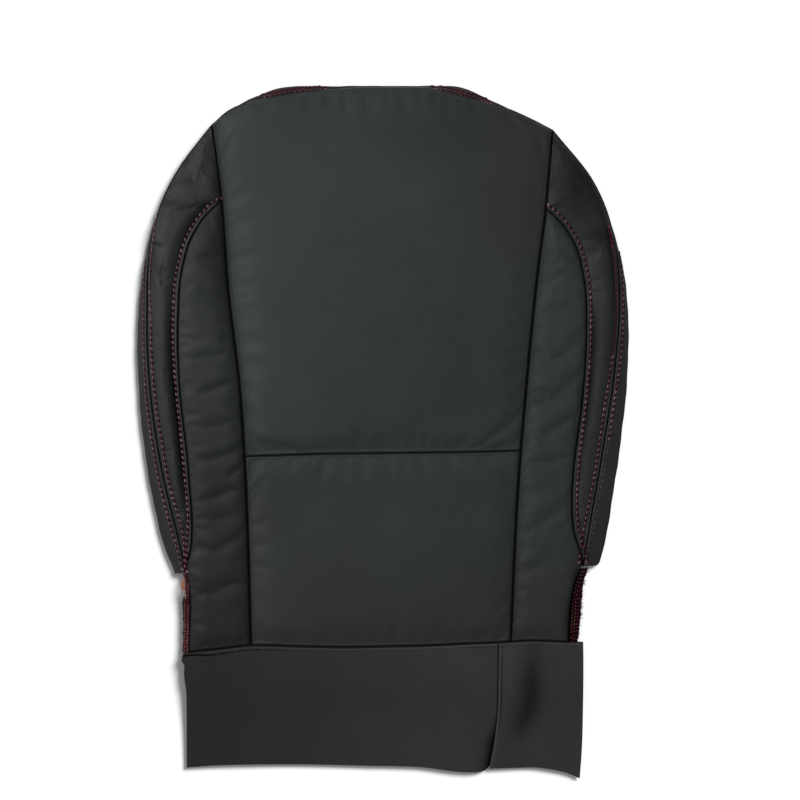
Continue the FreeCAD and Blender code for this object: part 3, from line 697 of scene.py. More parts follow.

# A sewn edge's shade is a painted shade gradient beside it; shades are painted shade patches as (x, y, reach,
# reach, strength)
panelLooks = {
    "upper_centre": {
        "material": leather["face"],
        "sewn": {
            "left": dict(wideSeam, shade=(0.28, 0.012)), "right": dict(wideSeam, shade=(0.6, 0.0065)),
            "foot": thinSeam, "head": dict(thinSeam, groove=0.0003),
        },
        "hills": [
            (-0.02, 0.16, 0.13, 0.16, 0.0011), (0.105, 0.21, 0.045, 0.1, -0.0007),
            (0.1, 0.05, 0.05, 0.09, -0.0006)],
        "shades": [
            (0.06, 0.315, 0.075, 0.032, 0.14), (0.125, 0.235, 0.036, 0.07, 0.09),
            (0.065, 0.115, 0.05, 0.06, 0.08), (-0.085, 0.33, 0.045, 0.022, 0.06)],
        "folds": [fold(0.7, 6, 126, 115, 140, 108, 153, 95), fold(0.6, 6, 115, -2, 130, 6, 145, 17)],
    },
    "lower_centre": {
        "material": leather["face"], "rise": 0.0027,
        "sewn": {
            "left": dict(wideSeam, shade=(0.14, 0.007)), "right": dict(wideSeam, shade=(0.6, 0.0065)),
            "foot": thinSeam, "head": thinSeam,
        },
        "hills": [(0.0, -0.12, 0.11, 0.08, 0.0007)],
        "shades": [(0.02, -0.052, 0.11, 0.028, 0.11), (-0.12, -0.07, 0.026, 0.04, 0.09)],
    },
    "left_bolster": {
        "material": leather["leftBolster"],
        "sewn": {"left": sideSeam, "right": dict(plainSeam, shade=(0.66, 0.007)), "foot": thinSeam},
        "shades": [
            (-0.1764, -0.069, 0.014, 0.05, 0.11), (-0.1764, -0.174, 0.02, 0.03, 0.06),
            (-0.179, 0.195, 0.02, 0.05, 0.2), (-0.169, 0.15, 0.01, 0.06, 0.25)],
        "folds": [
            fold(0.6, 6, -195.3, 184.8, -185.8, 181.7, -177.5, 176.4),
            fold(0.5, 6, -195.3, 152.2, -182.7, 140.7, -169.1, 127.1),
            fold(0.6, 4, -204.7, 71.4, -194.3, 77.7, -179.6, 79.8, -162.8, 78.8),
            fold(0.9, 4.5, -200.6, 37.8, -188, 41, -173.2, 46.2, -157.5, 55.7),
            fold(0.7, 5.5, -199.5, 2.1, -183.7, 5.3, -164.8, 8.4, -150.2, 12.6),
            fold(1.1, 4.5, -196.3, -32.6, -181.7, -29.4, -164.8, -24.2, -149.1, -16.8, fade=0.3),
            fold(1.2, 3, -165.9, -49.3, -156.5, -43.1, -147, -34.7, fade=0.2),
            fold(0.9, 4.5, -196.3, -74.5, -181.7, -70.4, -167, -64, -150.2, -57.8),
            fold(0.6, 4.5, -185.8, -94.5, -169.1, -90.3, -150.2, -84),
            fold(0.9, 5, -190.1, -129.2, -175.4, -123.9, -160.7, -116.6, -144.9, -105, fade=0.4),
            fold(0.8, 7, -195.3, -175.4, -179.6, -168, -162.8, -161.7, -143.9, -152.2)],
    },
    "right_bolster": {
        "material": leather["rightBolster"],
        "sewn": {
            "left": dict(plainSeam, shade=(0.28, 0.011)),
            "right": dict(sideSeam, shade=(0.4, 0.006), shoulder=0.009), "foot": thinSeam,
        },
        "shades": [
            (0.194, 0.182, 0.009, 0.006, 0.22), (0.208, 0.0, 0.008, 0.03, 0.22),
            (0.1965, -0.199, 0.0055, 0.022, 0.6), (0.202, -0.156, 0.0035, 0.016, 0.6)],
        "folds": [
            fold(0.7, 5, 186.9, 191.1, 195.3, 184.8, 205.8, 174.3),
            fold(0.4, 4, 178.5, 156.5, 184.8, 162.8, 191.1, 170.1),
            fold(0.5, 5, 174.3, 117.6, 185.8, 126, 201.6, 138.6),
            fold(0.9, 5, 165.9, 66.2, 180.6, 74.5, 194.3, 86.1, 211.1, 105, fade=0.3),
            fold(1.1, 6, 152.2, 17.9, 168, 27.3, 185.8, 39.9, 210, 65.1, fade=0.3),
            fold(1.1, 4.5, 155.4, -12.6, 172.2, -2.1, 188, 8.4, 206.9, 21, fade=0.3),
            fold(0.5, 4, 148.1, -31.5, 164.8, -33.6, 181.7, -30.5, 199.5, -23.1),
            fold(1, 6, 148.1, -112.4, 160.7, -101.9, 175.4, -88.2, 196.3, -69.3, fade=0.4),
            fold(0.9, 6, 146, -155.4, 156.5, -144.9, 169.1, -135.5, 185.8, -127.1)],
    },
    "left_wing": {
        "material": leather["leftWing"],
        "sewn": {"left": rimStitch, "right": dict(curveStitch, to=(0.392, 0.402), trough=leftTrough)},
        "shades": [
            (-0.226, 0.24, 0.012, 0.004, 0.28), (-0.211, 0.287, 0.01, 0.006, 0.16),
            (-0.215, 0.262, 0.012, 0.004, 0.14), (-0.1706, 0.252, 0.0062, 0.018, 0.62),
            (-0.175, 0.278, 0.0036, 0.02, 0.45)],
        "folds": [
            fold(0.8, 4, -216, 236, -206, 234.5, -196, 233.5),
            fold(0.6, 6, -205, 264, -196, 265, -187, 269), fold(0.6, 5, -238, 170, -231, 164, -224, 156)],
    },
    "right_wing": {
        "material": leather["rightWing"],
        "sewn": {
            "right": dict(rimStitch, trough=rimShade),
            "left": dict(curveStitch, to=(0.384, 0.394), trough=rightTrough, shoulder=0.02),
        },
        "shades": [
            (0.2075, 0.26, 0.029, 0.045, 0.44), (0.225, 0.206, 0.013, 0.009, 0.32),
            (0.219, 0.113, 0.007, 0.016, 0.22)],
        "folds": [fold(0.8, 7, 196, 270, 206, 260, 216, 248)],
    },
}


# What the panels of a kind share
usualPanel = {"rise": 0.0026, "hills": [], "folds": []}
panelKinds = {
    "centre": {"near": nearSeam, "step": (0.0042, 0.0042),
               "swell": {"pressure": 3.0, "slack": 0.004, "stiffness": 18, "bending": 2.0, "cap": 0.0012}},
    "bolster": {"near": nearSeam, "step": (0.0026, 0.0030),
                "swell": {"pressure": 3.0, "slack": 0.007, "stiffness": 12, "bending": 1.0, "cap": 0.0009}},
    "wing": {"near": nearStitch, "step": (0.0028, 0.0016),
             "swell": {"pressure": 2.5, "slack": 0.006, "stiffness": 12, "bending": 1.2, "cap": 0.0007}},
}
swellUse = {"ring": 6, "frames": 20}
padLook = {"near": [0.0024, 0.0034, 0.0052, 0.008, 0.013, 0.019], "step": (0.009, 0.009), "gap": 0.0009,
           "thinnest": 0.0005, "bottomGap": 0.0001}
scrimLook = {"near": [0.0022, 0.005, 0.012], "step": (0.012, 0.012), "wave": 0.00008}


def makePanel(name, panel):  # leather face, foam and backing of one panel
    plan = patch(panel["edges"], panel["near"], panel["near"], panel["step"])
    flat = plan.reshape(-1, 2)
    z, crease, wear = panelHeights(flat, panel)
    face = gridMesh(name + "_leather", np.dstack([plan, z.reshape(plan.shape[:2])]))
    swell(face, plan.shape[:2], dict(panel["swell"], **swellUse))
    dress(face, panel["material"], crease=crease, wear=wear)
    inner = patch(panel["edges"], padLook["near"], padLook["near"], padLook["step"])
    z = panelHeights(inner.reshape(-1, 2), dict(panel, folds=[]))[0].reshape(inner.shape[:2])
    low = levels["backingTop"]
    top = np.maximum(z - levels["leather"] - padLook["gap"], low + padLook["thinnest"])
    foam = closedMesh(name + "_pad", inner, top, np.full_like(top, low + padLook["bottomGap"]))
    dress(foam, padFoam)
    inner = patch(panel["edges"], scrimLook["near"], scrimLook["near"], scrimLook["step"])
    lift = scrimLook["wave"] * np.sin(inner[..., 0] * 210) * np.sin(inner[..., 1] * 170)
    backing = closedMesh(name + "_scrim", inner, low + lift, levels["backingLow"] + lift)
    dress(backing, backingCloth)
    size = flat.max(0) - flat.min(0)
    return {"face": face, "foam": foam, "backing": backing, "size": size, "area": planArea(plan)}


panelPaths = panelEdges()
madePanels = {}
for panelName, panelLook in panelLooks.items():
    kind = panelKinds[panelName.split("_")[1]]
    panelLook = {**usualPanel, **kind, **panelLook, "edges": panelPaths[panelName]}
    madePanels[panelName] = makePanel(panelName, panelLook)
    thicken(madePanels[panelName]["face"], levels["leather"])
    print("panel", panelName, len(madePanels[panelName]["face"].data.vertices), "points")


# Gusset, folded in half round the edge

gussetLook = {
    "reach": 0.022, "step": 0.0016, "stitch": 0.0044, "dip": 0.0005,
    "round": {"right": 0.0062},
    # painted shade along the outer fold of each strip, and in the top strip's seam
    "shade": {"left": 0.35, "top": 0.85, "right": 0.72},
    "seam": {"top": 0.35},
}


def gussetSection(depth, row):  # outline across the strip: in from the fold, and height, from the seam round
    raised = smoothStep(depth, 0.002, 0.008)
    rolled = min(0.0014, 0.3 * depth)
    crest = 0.0093 + 0.0030 * raised
    anchors = [
        (depth, levels["groove"] - 0.0004), (depth - 0.35 * rolled, levels["groove"] + 0.0012 * raised),
        (depth - rolled, crest), (0.5 * depth + 0.0004, crest - 0.0008 * raised),
        (0.22 * depth + 0.0008, 0.0083 + 0.0016 * raised), (0.0006, 0.0070), (0.0, 0.0047), (0.0005, 0.0024),
        (0.0024, 0.0006), (0.0060, 0.00022), (0.0130, 0.00018), (gussetLook["reach"], 0.00015),
    ]
    line = pointsAt(curveThrough(anchors, 8), np.linspace(0, 1, 46) ** 1.15)
    away = depth - line[:, 0]
    top = line[:, 1] > 0.006
    dip = gussetLook["dip"] * row * bell(away, gussetLook["stitch"], 0.0011)
    line[:, 1] -= np.where(top, dip * raised, 0)
    return line, away, top


def makeGussets():
    chains = {key: curveThrough(points) for key, points in foldPoints.items()}
    rims = {side.lower(): seamPath("rim" + side, seams["rim" + side][-1][0], seams["corner" + side])
            for side in ("Left", "Right")}
    rims = {"left": rims["left"], "top": archPath(), "right": rims["right"][::-1]}
    whole = np.vstack([chains["left"], chains["top"][1:], chains["right"][1:]])
    along = np.gradient(evenly(whole, 0.001), axis=0)
    kernel = np.ones(9) / 9
    along = np.stack([np.convolve(np.pad(along[:, k], 4, "edge"), kernel, "valid") for k in (0, 1)], axis=1)
    along /= np.linalg.norm(along, axis=1)[:, None]
    wholeRun = runLength(whole)[-1]
    start = 0.0
    made = {}
    for key, name in (("left", "left_side_gusset"), ("top", "top_gusset"), ("right", "right_side_gusset")):
        length = runLength(chains[key])[-1]
        share = np.linspace(0, 1, int(length / gussetLook["step"]))
        outer, rim = pointsAt(chains[key], share), pointsAt(rims[key], share)
        place = (start + share * length) / wholeRun * (len(along) - 1)
        ways = np.stack([np.interp(place, np.arange(len(along)), along[:, k]) for k in (0, 1)], axis=1)
        inward = np.stack([ways[:, 1], -ways[:, 0]], axis=1)
        depth = np.maximum(((rim - outer) * inward).sum(1), 0.0006)
        slip = rim - outer - inward * depth[:, None]
        corner = gussetLook["round"].get(key)
        if corner:
            short = np.clip(corner - (1 - share) * length, 0, corner)
            cut = corner - np.sqrt(corner ** 2 - short ** 2)
            outer, depth = outer + inward * cut[:, None], np.maximum(depth - cut, 0.0006)
        rows, creases, wears = [], [], []
        for i, at in enumerate(share * length):
            row = float(key != "top" and rim[i][1] < 0.160)
            line, away, top = gussetSection(depth[i], row)
            wave = 0.00022 * math.sin(at * 95 + 1.3) + 0.00015 * math.sin(at * 231)
            near = np.clip(line[:, 0] / depth[i], 0, 1) * top
            plan = outer[i] + inward[i] * (line[:, :1] + wave * (1 - near[:, None])) + slip[i] * near[:, None]
            rows.append(np.column_stack([plan, line[:, 1]]))
            # painted shade in the seam groove and along the outer fold
            seamDark = gussetLook["seam"].get(key, 0.98) * (1 - smoothStep(away, 0.0004, 0.0011))
            edgeDark = gussetLook["shade"][key] * (1 - smoothStep(line[:, 0], 0.0009, 0.0027))
            creases.append(np.maximum(seamDark, edgeDark) * top)
            # painted highlight on the ledge beside the seam
            highlight = 0.6 * smoothStep(away, 0.0009, 0.0015) * (1 - smoothStep(away, 0.0015, 0.0030))
            wears.append(highlight * top)
        grid = np.array(rows)
        piece = gridMesh(name + "_strip", grid, flip=True)
        dress(piece, leather["gusset"], crease=creases, wear=wears)
        thicken(piece, levels["leather"])
        across = np.linalg.norm(np.diff(grid, axis=1), axis=2).sum(1)
        made[name] = {"piece": piece, "width": float(across.max()), "length": float(length),
                      "area": float(across.mean() * length)}
        start += length
    return made


gussets = makeGussets()
print("gussets folded")


# Plain back panel, out of sight below

backLook = {
    "inset": 0.0048, "low": 0.00125, "sag": 0.0008, "nearSide": [0, 0.004, 0.01, 0.017, 0.02],
    "nearEnd": [0, 0.0008, 0.008, 0.0152, 0.016, 0.02],
}


def makeBack():
    paths = {key: offsetPath(evenly(curveThrough(points), 0.004), -backLook["inset"])
             for key, points in foldPoints.items()}
    left, right, head = paths["left"], paths["right"][::-1], paths["top"]
    head[0], head[-1] = left[-1], right[-1]
    foot = pointsAt(np.array([left[0], right[0]]), np.linspace(0, 1, 50))
    edges = {"left": left, "right": right, "foot": foot, "head": head}
    plan = patch(edges, backLook["nearSide"], backLook["nearEnd"], (0.009, 0.009))
    flat = plan.reshape(-1, 2)
    away = {side: distanceTo(flat, edges[side], 0.002)[0] for side in edges}
    ring = np.minimum.reduce([away["left"], away["right"], away["head"]])
    free = smoothStep(ring, 0.018, 0.045)
    wave = 0.5 + 0.5 * np.sin(flat[:, 0] * 31 + 3 * np.sin(flat[:, 1] * 11)) * np.cos(flat[:, 1] * 23)
    z = backLook["low"] - free * backLook["sag"] * wave
    thick = 0.0011 + 0.0010 * (1 - smoothStep(away["foot"], 0.0150, 0.0162))
    shape = plan.shape[:2]
    piece = closedMesh("back_panel_cloth", plan, (z + thick).reshape(shape), z.reshape(shape))
    dress(piece, backCloth)
    return piece, flat.max(0) - flat.min(0), planArea(plan)


backPiece, backSize, backArea = makeBack()
print("back panel laid")


# Tuck flap

# Outline as (x, y). Lifts are half way down and at the free edge, by x at that edge. The place and the
# strength of the crease under the hem, its dent and its painted shade, are by x, and the painted shade in the
# side piece's hollow, by y.

flapLook = {
    "leftEdge": pairs(
        -206.3, -352.8, -206.4, -276, -206.8, -268.8, -208, -262, -208.7, -253.1, -208.6, -244,
        -210.8, -241, -211.1, -239, -210, -234, -209.2, -231.5),
    "mainFoot": pairs(
        -206.3, -352.8, -173.3, -350.3, -94.5, -349.4, -20, -350.7, 38.9, -352.3, 77.4, -357, 97.3, -357.7,
        106.6, -356, 110.8, -352.8),
    "joinMain": pairs(
        110.8, -352.8, 114.6, -348, 118.3, -333.5, 122.2, -308.2, 124.2, -287.7, 124.8, -250, 125.1, -220.6),
    "joinSide": pairs(111.6, -353.9, 115.6, -333.5, 119, -308.2, 120.7, -287.7, 121.3, -250, 121.6, -220.7),
    "sideFoot": pairs(
        111.6, -353.9, 125, -353.5, 138.6, -353.1, 161.7, -352.8, 177.5, -354.9, 192.9, -358.5,
        206.9, -364.4),
    "rightEdge": pairs(206.9, -364.4, 209, -335, 209.8, -311.9, 210.3, -249.9, 210, -220.1), "ledge": 0.0069,
    "hinge": 0.0146, "edge": 0.0072, "sag": 0.0016, "ease": (0.28, 0.17),
    "lifts": {
        "main": pairs(-206.3, 0.9, -171, 0.2, -99, 0.6, -1, 0, 57, 0.8, 90, 1.3, 115, 1.7),
        "side": pairs(111.8, 1.8, 130, 1.6, 150, -0.7, 173, 0.9, 206.8, 0.3),
    },
    "edgeLifts": {
        "main": pairs(-206.3, -1.4, -171, 0.3, -99, 0, -1, 0.4, 57, 0.2, 90, 0.9, 115, 0.5),
        "side": pairs(111.8, 0.6, 130, 0.4, 150, -0.4, 173, 0.2, 206.8, -1.8),
    },
    "creaseAt": pairs(-211, 3.4, -197, 3.6, -179, 5.5, -150, 5, -110, 4.5, 0, 5, 100, 4.6, 210, 4.8),
    "creased": [
        (-0.21, 1.0), (-0.165, 1.0), (-0.145, 0.7), (-0.12, 0.55), (-0.09, 0.15), (0.08, 0.12),
        (0.095, 0.5), (0.118, 0.5), (0.13, 0.22), (0.21, 0.25)],
    "valleyShade": [
        (-0.35, 0.0), (-0.335, 0.08), (-0.318, 0.28), (-0.303, 0.5), (-0.285, 0.6), (-0.262, 0.54),
        (-0.245, 0.4), (-0.23, 0.22)],
    "valley": pairs(161.2, -227, 158, -249.9, 157, -270.9, 154, -293, 147, -314),
    "main": {"left": "leftEdge", "right": "joinMain"},
    "side": {"left": "joinSide", "right": "rightEdge"},
    "nearSide": [0, 0.0005, 0.0012, 0.002, 0.003, 0.0042, 0.005, 0.006, 0.008, 0.011],
    "nearHem": [0, 0.0003, 0.0008, 0.0014, 0.002, 0.0028, 0.0036, 0.0044, 0.0052, 0.006, 0.0068, 0.008, 0.01],
    "step": (0.0022, 0.0028),
}


def flapFall(plan, key):  # height of the flap's upper side, from the hinge to its free edge
    x, y = plan.T
    drop = hemAt(x) - y
    foot = smoothLine(flapLook[key + "Foot"])(x)
    share = np.clip((drop - flapLook["ledge"]) / (hemAt(x) - foot - flapLook["ledge"]), 0, 1)
    edge = flapLook["edge"] + smoothLine(flapLook["edgeLifts"][key])(x)
    hinge = flapLook["hinge"]
    at, fallen = flapLook["ease"]
    slack = (flapLook["sag"] - smoothLine(flapLook["lifts"][key])(x)) / 2
    fallen = fallen * (hinge - edge)
    down = [(-0.06, hinge), (0.0, hinge), (at, hinge - fallen - slack), (0.5, (hinge + edge) / 2 - 2 * slack),
            (1 - at, edge + fallen - slack), (1.0, edge)]
    z = np.zeros(len(plan))
    for i, (_, level) in enumerate(down):
        z += level * smoothLine([(place, float(i == k)) for k, (place, _) in enumerate(down)])(share)
    return z, drop


def flapHeights(plan, key):  # height of the flap's upper side, how deep in a crease each place is, and wear
    z, drop = flapFall(plan, key)
    x, y = plan[:, 0], plan[:, 1]
    free = smoothStep(drop, 0.02, 0.06)
    z += 0.0003 * free * np.sin(x * 26 + y * 17 + 0.4) + 0.00025 * free * np.sin(x * 11 - y * 31)
    creaseAt = smoothLine(flapLook["creaseAt"])(x) + 0.0003 * np.sin(x * 173 + 2.0) + 0.0002 * np.sin(x * 900)
    strength = smoothLine(flapLook["creased"])(x)
    dent = np.exp(-((drop - creaseAt) / (0.0005 + 0.0006 * strength)) ** 4)
    uneven = 0.75 + 0.45 * np.sin(x * 410 + 2.2 * np.sin(x * 97)) + 0.5 * strength
    strength = np.clip(strength * uneven, 0, 1)
    broken = smoothStep(x, -0.190, -0.175) * (0.5 + 0.5 * np.sin(x * 1300 + 2 * np.sin(x * 310)))
    strength *= 1 - 0.75 * broken
    z += 0.0005 * bell(drop, 0.0024, 0.0011) - 0.0005 * dent * strength
    rolled = np.clip(drop / 0.0014, 0, 1)
    rolled = np.sqrt(1 - (1 - rolled) ** 2)
    z = levels["groove"] + (z - levels["groove"]) * np.where(drop < 0.0014, rolled, 1)
    # painted shade in the hem's seam and in the crease below it
    crease = np.maximum(0.98 * (1 - smoothStep(drop, 0.0006, 0.0012)), 0.98 * dent * strength)
    # painted highlight on the ridge just below the hem
    wear = 0.45 * bell(drop, 0.0024, 0.0009)
    join = distanceTo(plan, curveThrough(flapLook["joinSide"]), 0.0005)[0]
    if key == "side":
        strip = 1 - smoothStep(join, 0.0024, 0.0032)
        z += 0.0005 * strip * (1 - 0.7 * smoothStep(drop, 0.07, 0.10))
        # painted shade in a line beside the join
        line = bell(join, 0.0033, 0.0006) * smoothStep(drop, 0.004, 0.02)
        crease = np.maximum(crease, 0.82 * line * (1 - smoothStep(drop, 0.070, 0.110)))
        z -= 0.0004 * line
        # painted highlight on the side piece's turned edge at the join, and on a low ridge beside it
        wear = np.maximum(wear, 0.75 * bell(join, 0.0016, 0.0009) * smoothStep(drop, 0.003, 0.009))
        wear = np.maximum(wear, 0.16 * bell(join, 0.0105, 0.0060) * (1 - smoothStep(drop, 0.05, 0.08)))
        hollow = distanceTo(plan, curveThrough(flapLook["valley"]), 0.001)[0]
        z -= 0.0011 * bell(hollow, 0, 0.0075)
        # painted shade in the side piece's hollow
        hollowShade = smoothLine(flapLook["valleyShade"])(y)
        crease = 1 - (1 - crease) * (1 - hollowShade * bell(hollow, 0, 0.0130))
    else:
        beyond = join * np.where(x > smoothLine([(b, a) for a, b in flapLook["joinSide"]])(y), 1, -1)
        z -= 0.0016 * smoothStep(beyond, -0.0016, 0.0002)
        z -= 0.0026 * smoothStep(drop, 0.075, 0.120) * bell(np.maximum(0, -beyond), 0, 0.008)
        # painted shade on the main flap where it tucks under the side piece, and beside the join lower down
        crease = np.maximum(crease, 0.95 * smoothStep(beyond, -0.0012, -0.0004))
        lower = smoothStep(drop, 0.070, 0.108)
        crease = np.maximum(crease, 0.94 * lower * bell(np.minimum(0, beyond), 0, 0.0024 + 0.0040 * lower))
        # the main flap is also darker towards its left edge
        crease = 1 - (1 - crease) * (1 - np.clip(1.42 * (0.09 - x), 0, 0.38))
    return z, crease, wear


def makeFlap(key):  # the name of the piece, the piece, its flat size and its area
    sides = {side: curveThrough(flapLook[line]) for side, line in flapLook[key].items()}
    foot = curveThrough(flapLook[key + "Foot"])
    head = hemBetween(sides["left"][-1][0], sides["right"][-1][0])
    sides["left"][-1], sides["right"][-1] = head[0], head[-1]
    edges = dict(sides, foot=foot, head=head)
    plan = patch(edges, flapLook["nearSide"], flapLook["nearHem"], flapLook["step"])
    flat = plan.reshape(-1, 2)
    z, crease, wear = flapHeights(flat, key)
    name = "tuck_flap_" + key
    piece = gridMesh(name + "_leather", np.dstack([plan, z.reshape(plan.shape[:2])]))
    dress(piece, leather["flap"], crease=crease, wear=wear)
    thicken(piece, levels["leather"])
    return name, piece, flat.max(0) - flat.min(0), planArea(plan)


flaps = [makeFlap(key) for key in ("main", "side")]
print("flap hung")


# Threads, as a tree of nodes along a line of points

def threadTree():  # stitches, near-black pits between them painting the shade of the needle holes, and the bed below them
    tree = bpy.data.node_groups.new("threadRow", "GeometryNodeTree")
    sockets = {"Geometry": ("Line",), "Float": ("Pitch", "Length", "Width", "Slant", "Band", "Pit"),
               "Int": ("Seed",), "Material": ("Stitch", "Under", "Hole")}
    for kind, names in sockets.items():
        for name in names:
            tree.interface.new_socket(name, in_out="INPUT", socket_type="NodeSocket" + kind)
    tree.interface.new_socket("Thread", in_out="OUTPUT", socket_type="NodeSocketGeometry")
    given = tree.nodes.new("NodeGroupInput").outputs
    curve = node(tree, "GeometryNodeMeshToCurve", None, i0=given["Line"]).outputs[0]

    def painted(geometry, name):
        return node(tree, "GeometryNodeSetMaterial", None, Geometry=geometry, Material=given[name]).outputs[0]

    def scattered(source, detail, size, slant, seedShift, spread, name):  # round bits along the line
        bead = node(tree, "GeometryNodeMeshUVSphere", None, Segments=detail[0], Rings=detail[1], Radius=0.5)
        flat = maths(tree, "MULTIPLY", size[1], size[2])
        size = node(tree, "ShaderNodeCombineXYZ", None, X=size[0], Y=size[1], Z=flat).outputs[0]
        bead = node(tree, "GeometryNodeTransform", None, Geometry=bead.outputs[0], Scale=size).outputs[0]
        points = node(tree, "GeometryNodeResampleCurve", {"mode": "LENGTH"}, Curve=source,
                      Length=given["Pitch"]).outputs[0]
        tangent = node(tree, "GeometryNodeInputTangent").outputs[0]
        turned = node(tree, "FunctionNodeAlignRotationToVector", {"axis": "X"}, Vector=tangent).outputs[0]
        seed = maths(tree, "ADD", given["Seed"], seedShift)
        angle = node(tree, "FunctionNodeRandomValue", {"data_type": "FLOAT"}, i2=-spread, i3=spread,
                     Seed=seed).outputs[1]
        if slant is not None:
            angle = maths(tree, "ADD", slant, angle)
        spin = node(tree, "ShaderNodeCombineXYZ", None, Z=angle).outputs[0]
        turned = node(tree, "FunctionNodeRotateRotation", {"rotation_space": "LOCAL"}, i0=turned,
                      i1=spin).outputs[0]
        size = node(tree, "FunctionNodeRandomValue", {"data_type": "FLOAT_VECTOR"}, i0=(0.88, 0.85, 0.85),
                    i1=(1.08, 1.12, 1.1), Seed=seed).outputs[0]
        placed = node(tree, "GeometryNodeInstanceOnPoints", None, Points=points, Instance=bead,
                      Rotation=turned, Scale=size).outputs[0]
        return painted(placed, name)

    size = (given["Length"], given["Width"], 0.9)
    beads = scattered(curve, (8, 6), size, given["Slant"], 0.0, 0.09, "Stitch")
    half = maths(tree, "MULTIPLY", given["Pitch"], 0.5)
    later = node(tree, "GeometryNodeTrimCurve", {"mode": "LENGTH"}, Curve=curve, i4=half, i5=10.0).outputs[0]
    holes = scattered(later, (6, 4), (given["Pit"], given["Pit"], 0.7), None, 5.0, 0.3, "Hole")

    ring = node(tree, "GeometryNodeCurvePrimitiveCircle", {"mode": "RADIUS"}, Resolution=8,
                Radius=maths(tree, "MULTIPLY", given["Band"], 0.5)).outputs[0]
    ring = node(tree, "GeometryNodeTransform", None, Geometry=ring, Scale=(0.22, 1.0, 1.0)).outputs[0]
    fine = node(tree, "GeometryNodeResampleCurve", {"mode": "LENGTH"}, Curve=curve,
                Length=maths(tree, "MULTIPLY", given["Pitch"], 0.35)).outputs[0]
    fine = node(tree, "GeometryNodeSetCurveNormal", {"mode": "Z_UP"}, Curve=fine).outputs[0]
    under = node(tree, "GeometryNodeCurveToMesh", None, Curve=fine, i1=ring)
    under.inputs["Fill Caps"].default_value = True
    under = painted(under.outputs[0], "Under")

    joined = tree.nodes.new("GeometryNodeJoinGeometry")
    for part in (beads, holes, under):
        tree.links.new(part, joined.inputs[0])
    whole = node(tree, "GeometryNodeRealizeInstances", None, i0=joined.outputs[0]).outputs[0]
    whole = node(tree, "GeometryNodeSetShadeSmooth", None, Geometry=whole).outputs[0]
    output = tree.nodes.new("NodeGroupOutput")
    tree.links.new(whole, output.inputs[0])
    return tree


threadNodes = threadTree()
usualThread = {
    "Pitch": stitchPitch, "Length": 0.0042, "Width": 0.0023, "Slant": 0.22, "Band": 0.0048, "Pit": 0.0019,
    "Seed": 3, "Stitch": yarn["roseThread"], "Under": yarn["maroonThread"], "Hole": yarn["holeShade"],
}


def surfaceTree(pieces):  # what a ray from above meets first
    points, faces = [], []
    for piece in pieces:
        first = len(points)
        points += [v.co.copy() for v in piece.data.vertices]
        faces += [[first + i for i in p.vertices] for p in piece.data.polygons]
    return BVHTree.FromPolygons(points, faces)


def onSurface(tree, path, lift):
    hits = [tree.ray_cast(Vector((x, y, 0.1)), Vector((0, 0, -1)))[0] for x, y in path]
    return np.array([(x, y, hit.z + lift) for (x, y), hit in zip(path, hits) if hit is not None])


def threadRows(name, rows):  # several rows of thread as one piece
    sockets = threadNodes.interface.items_tree
    names = {item.name: item.identifier for item in sockets if item.in_out == "INPUT"}
    hosts = []
    for line, look in rows:
        host = meshPiece(name, line.tolist(), [(i, i + 1) for i in range(len(line) - 1)], [], smooth=False)
        modifier = host.modifiers.new("thread", "NODES")
        modifier.node_group = threadNodes
        for key, value in dict(usualThread, **look).items():
            modifier[names[key]] = value
        hosts.append(applied(host))
    whole = hosts[0]
    if len(hosts) > 1:
        with bpy.context.temp_override(active_object=whole, selected_editable_objects=hosts, object=whole):
            bpy.ops.object.join()
    whole.name = name
    return whole


rope = {"Length": 0.007, "Width": 0.0014, "Slant": 0.06, "Band": 0.0034, "Pit": 0.0004}
fine = {"Length": 0.003, "Width": 0.0014, "Band": 0.0028, "Pit": 0.0012, "Stitch": yarn["peachThread"]}
crimson = {"Stitch": yarn["crimsonThread"], "Slant": -0.22, "Length": 0.0045, "Under": yarn["plumThread"]}


def row(seam, look, *numbers, end=None):  # from and to, then pairs of y and distance right of the seam, in mm
    span, *beside = pairs(*numbers)
    return {"seam": seam, "look": look, "span": span, "beside": beside, "end": end}


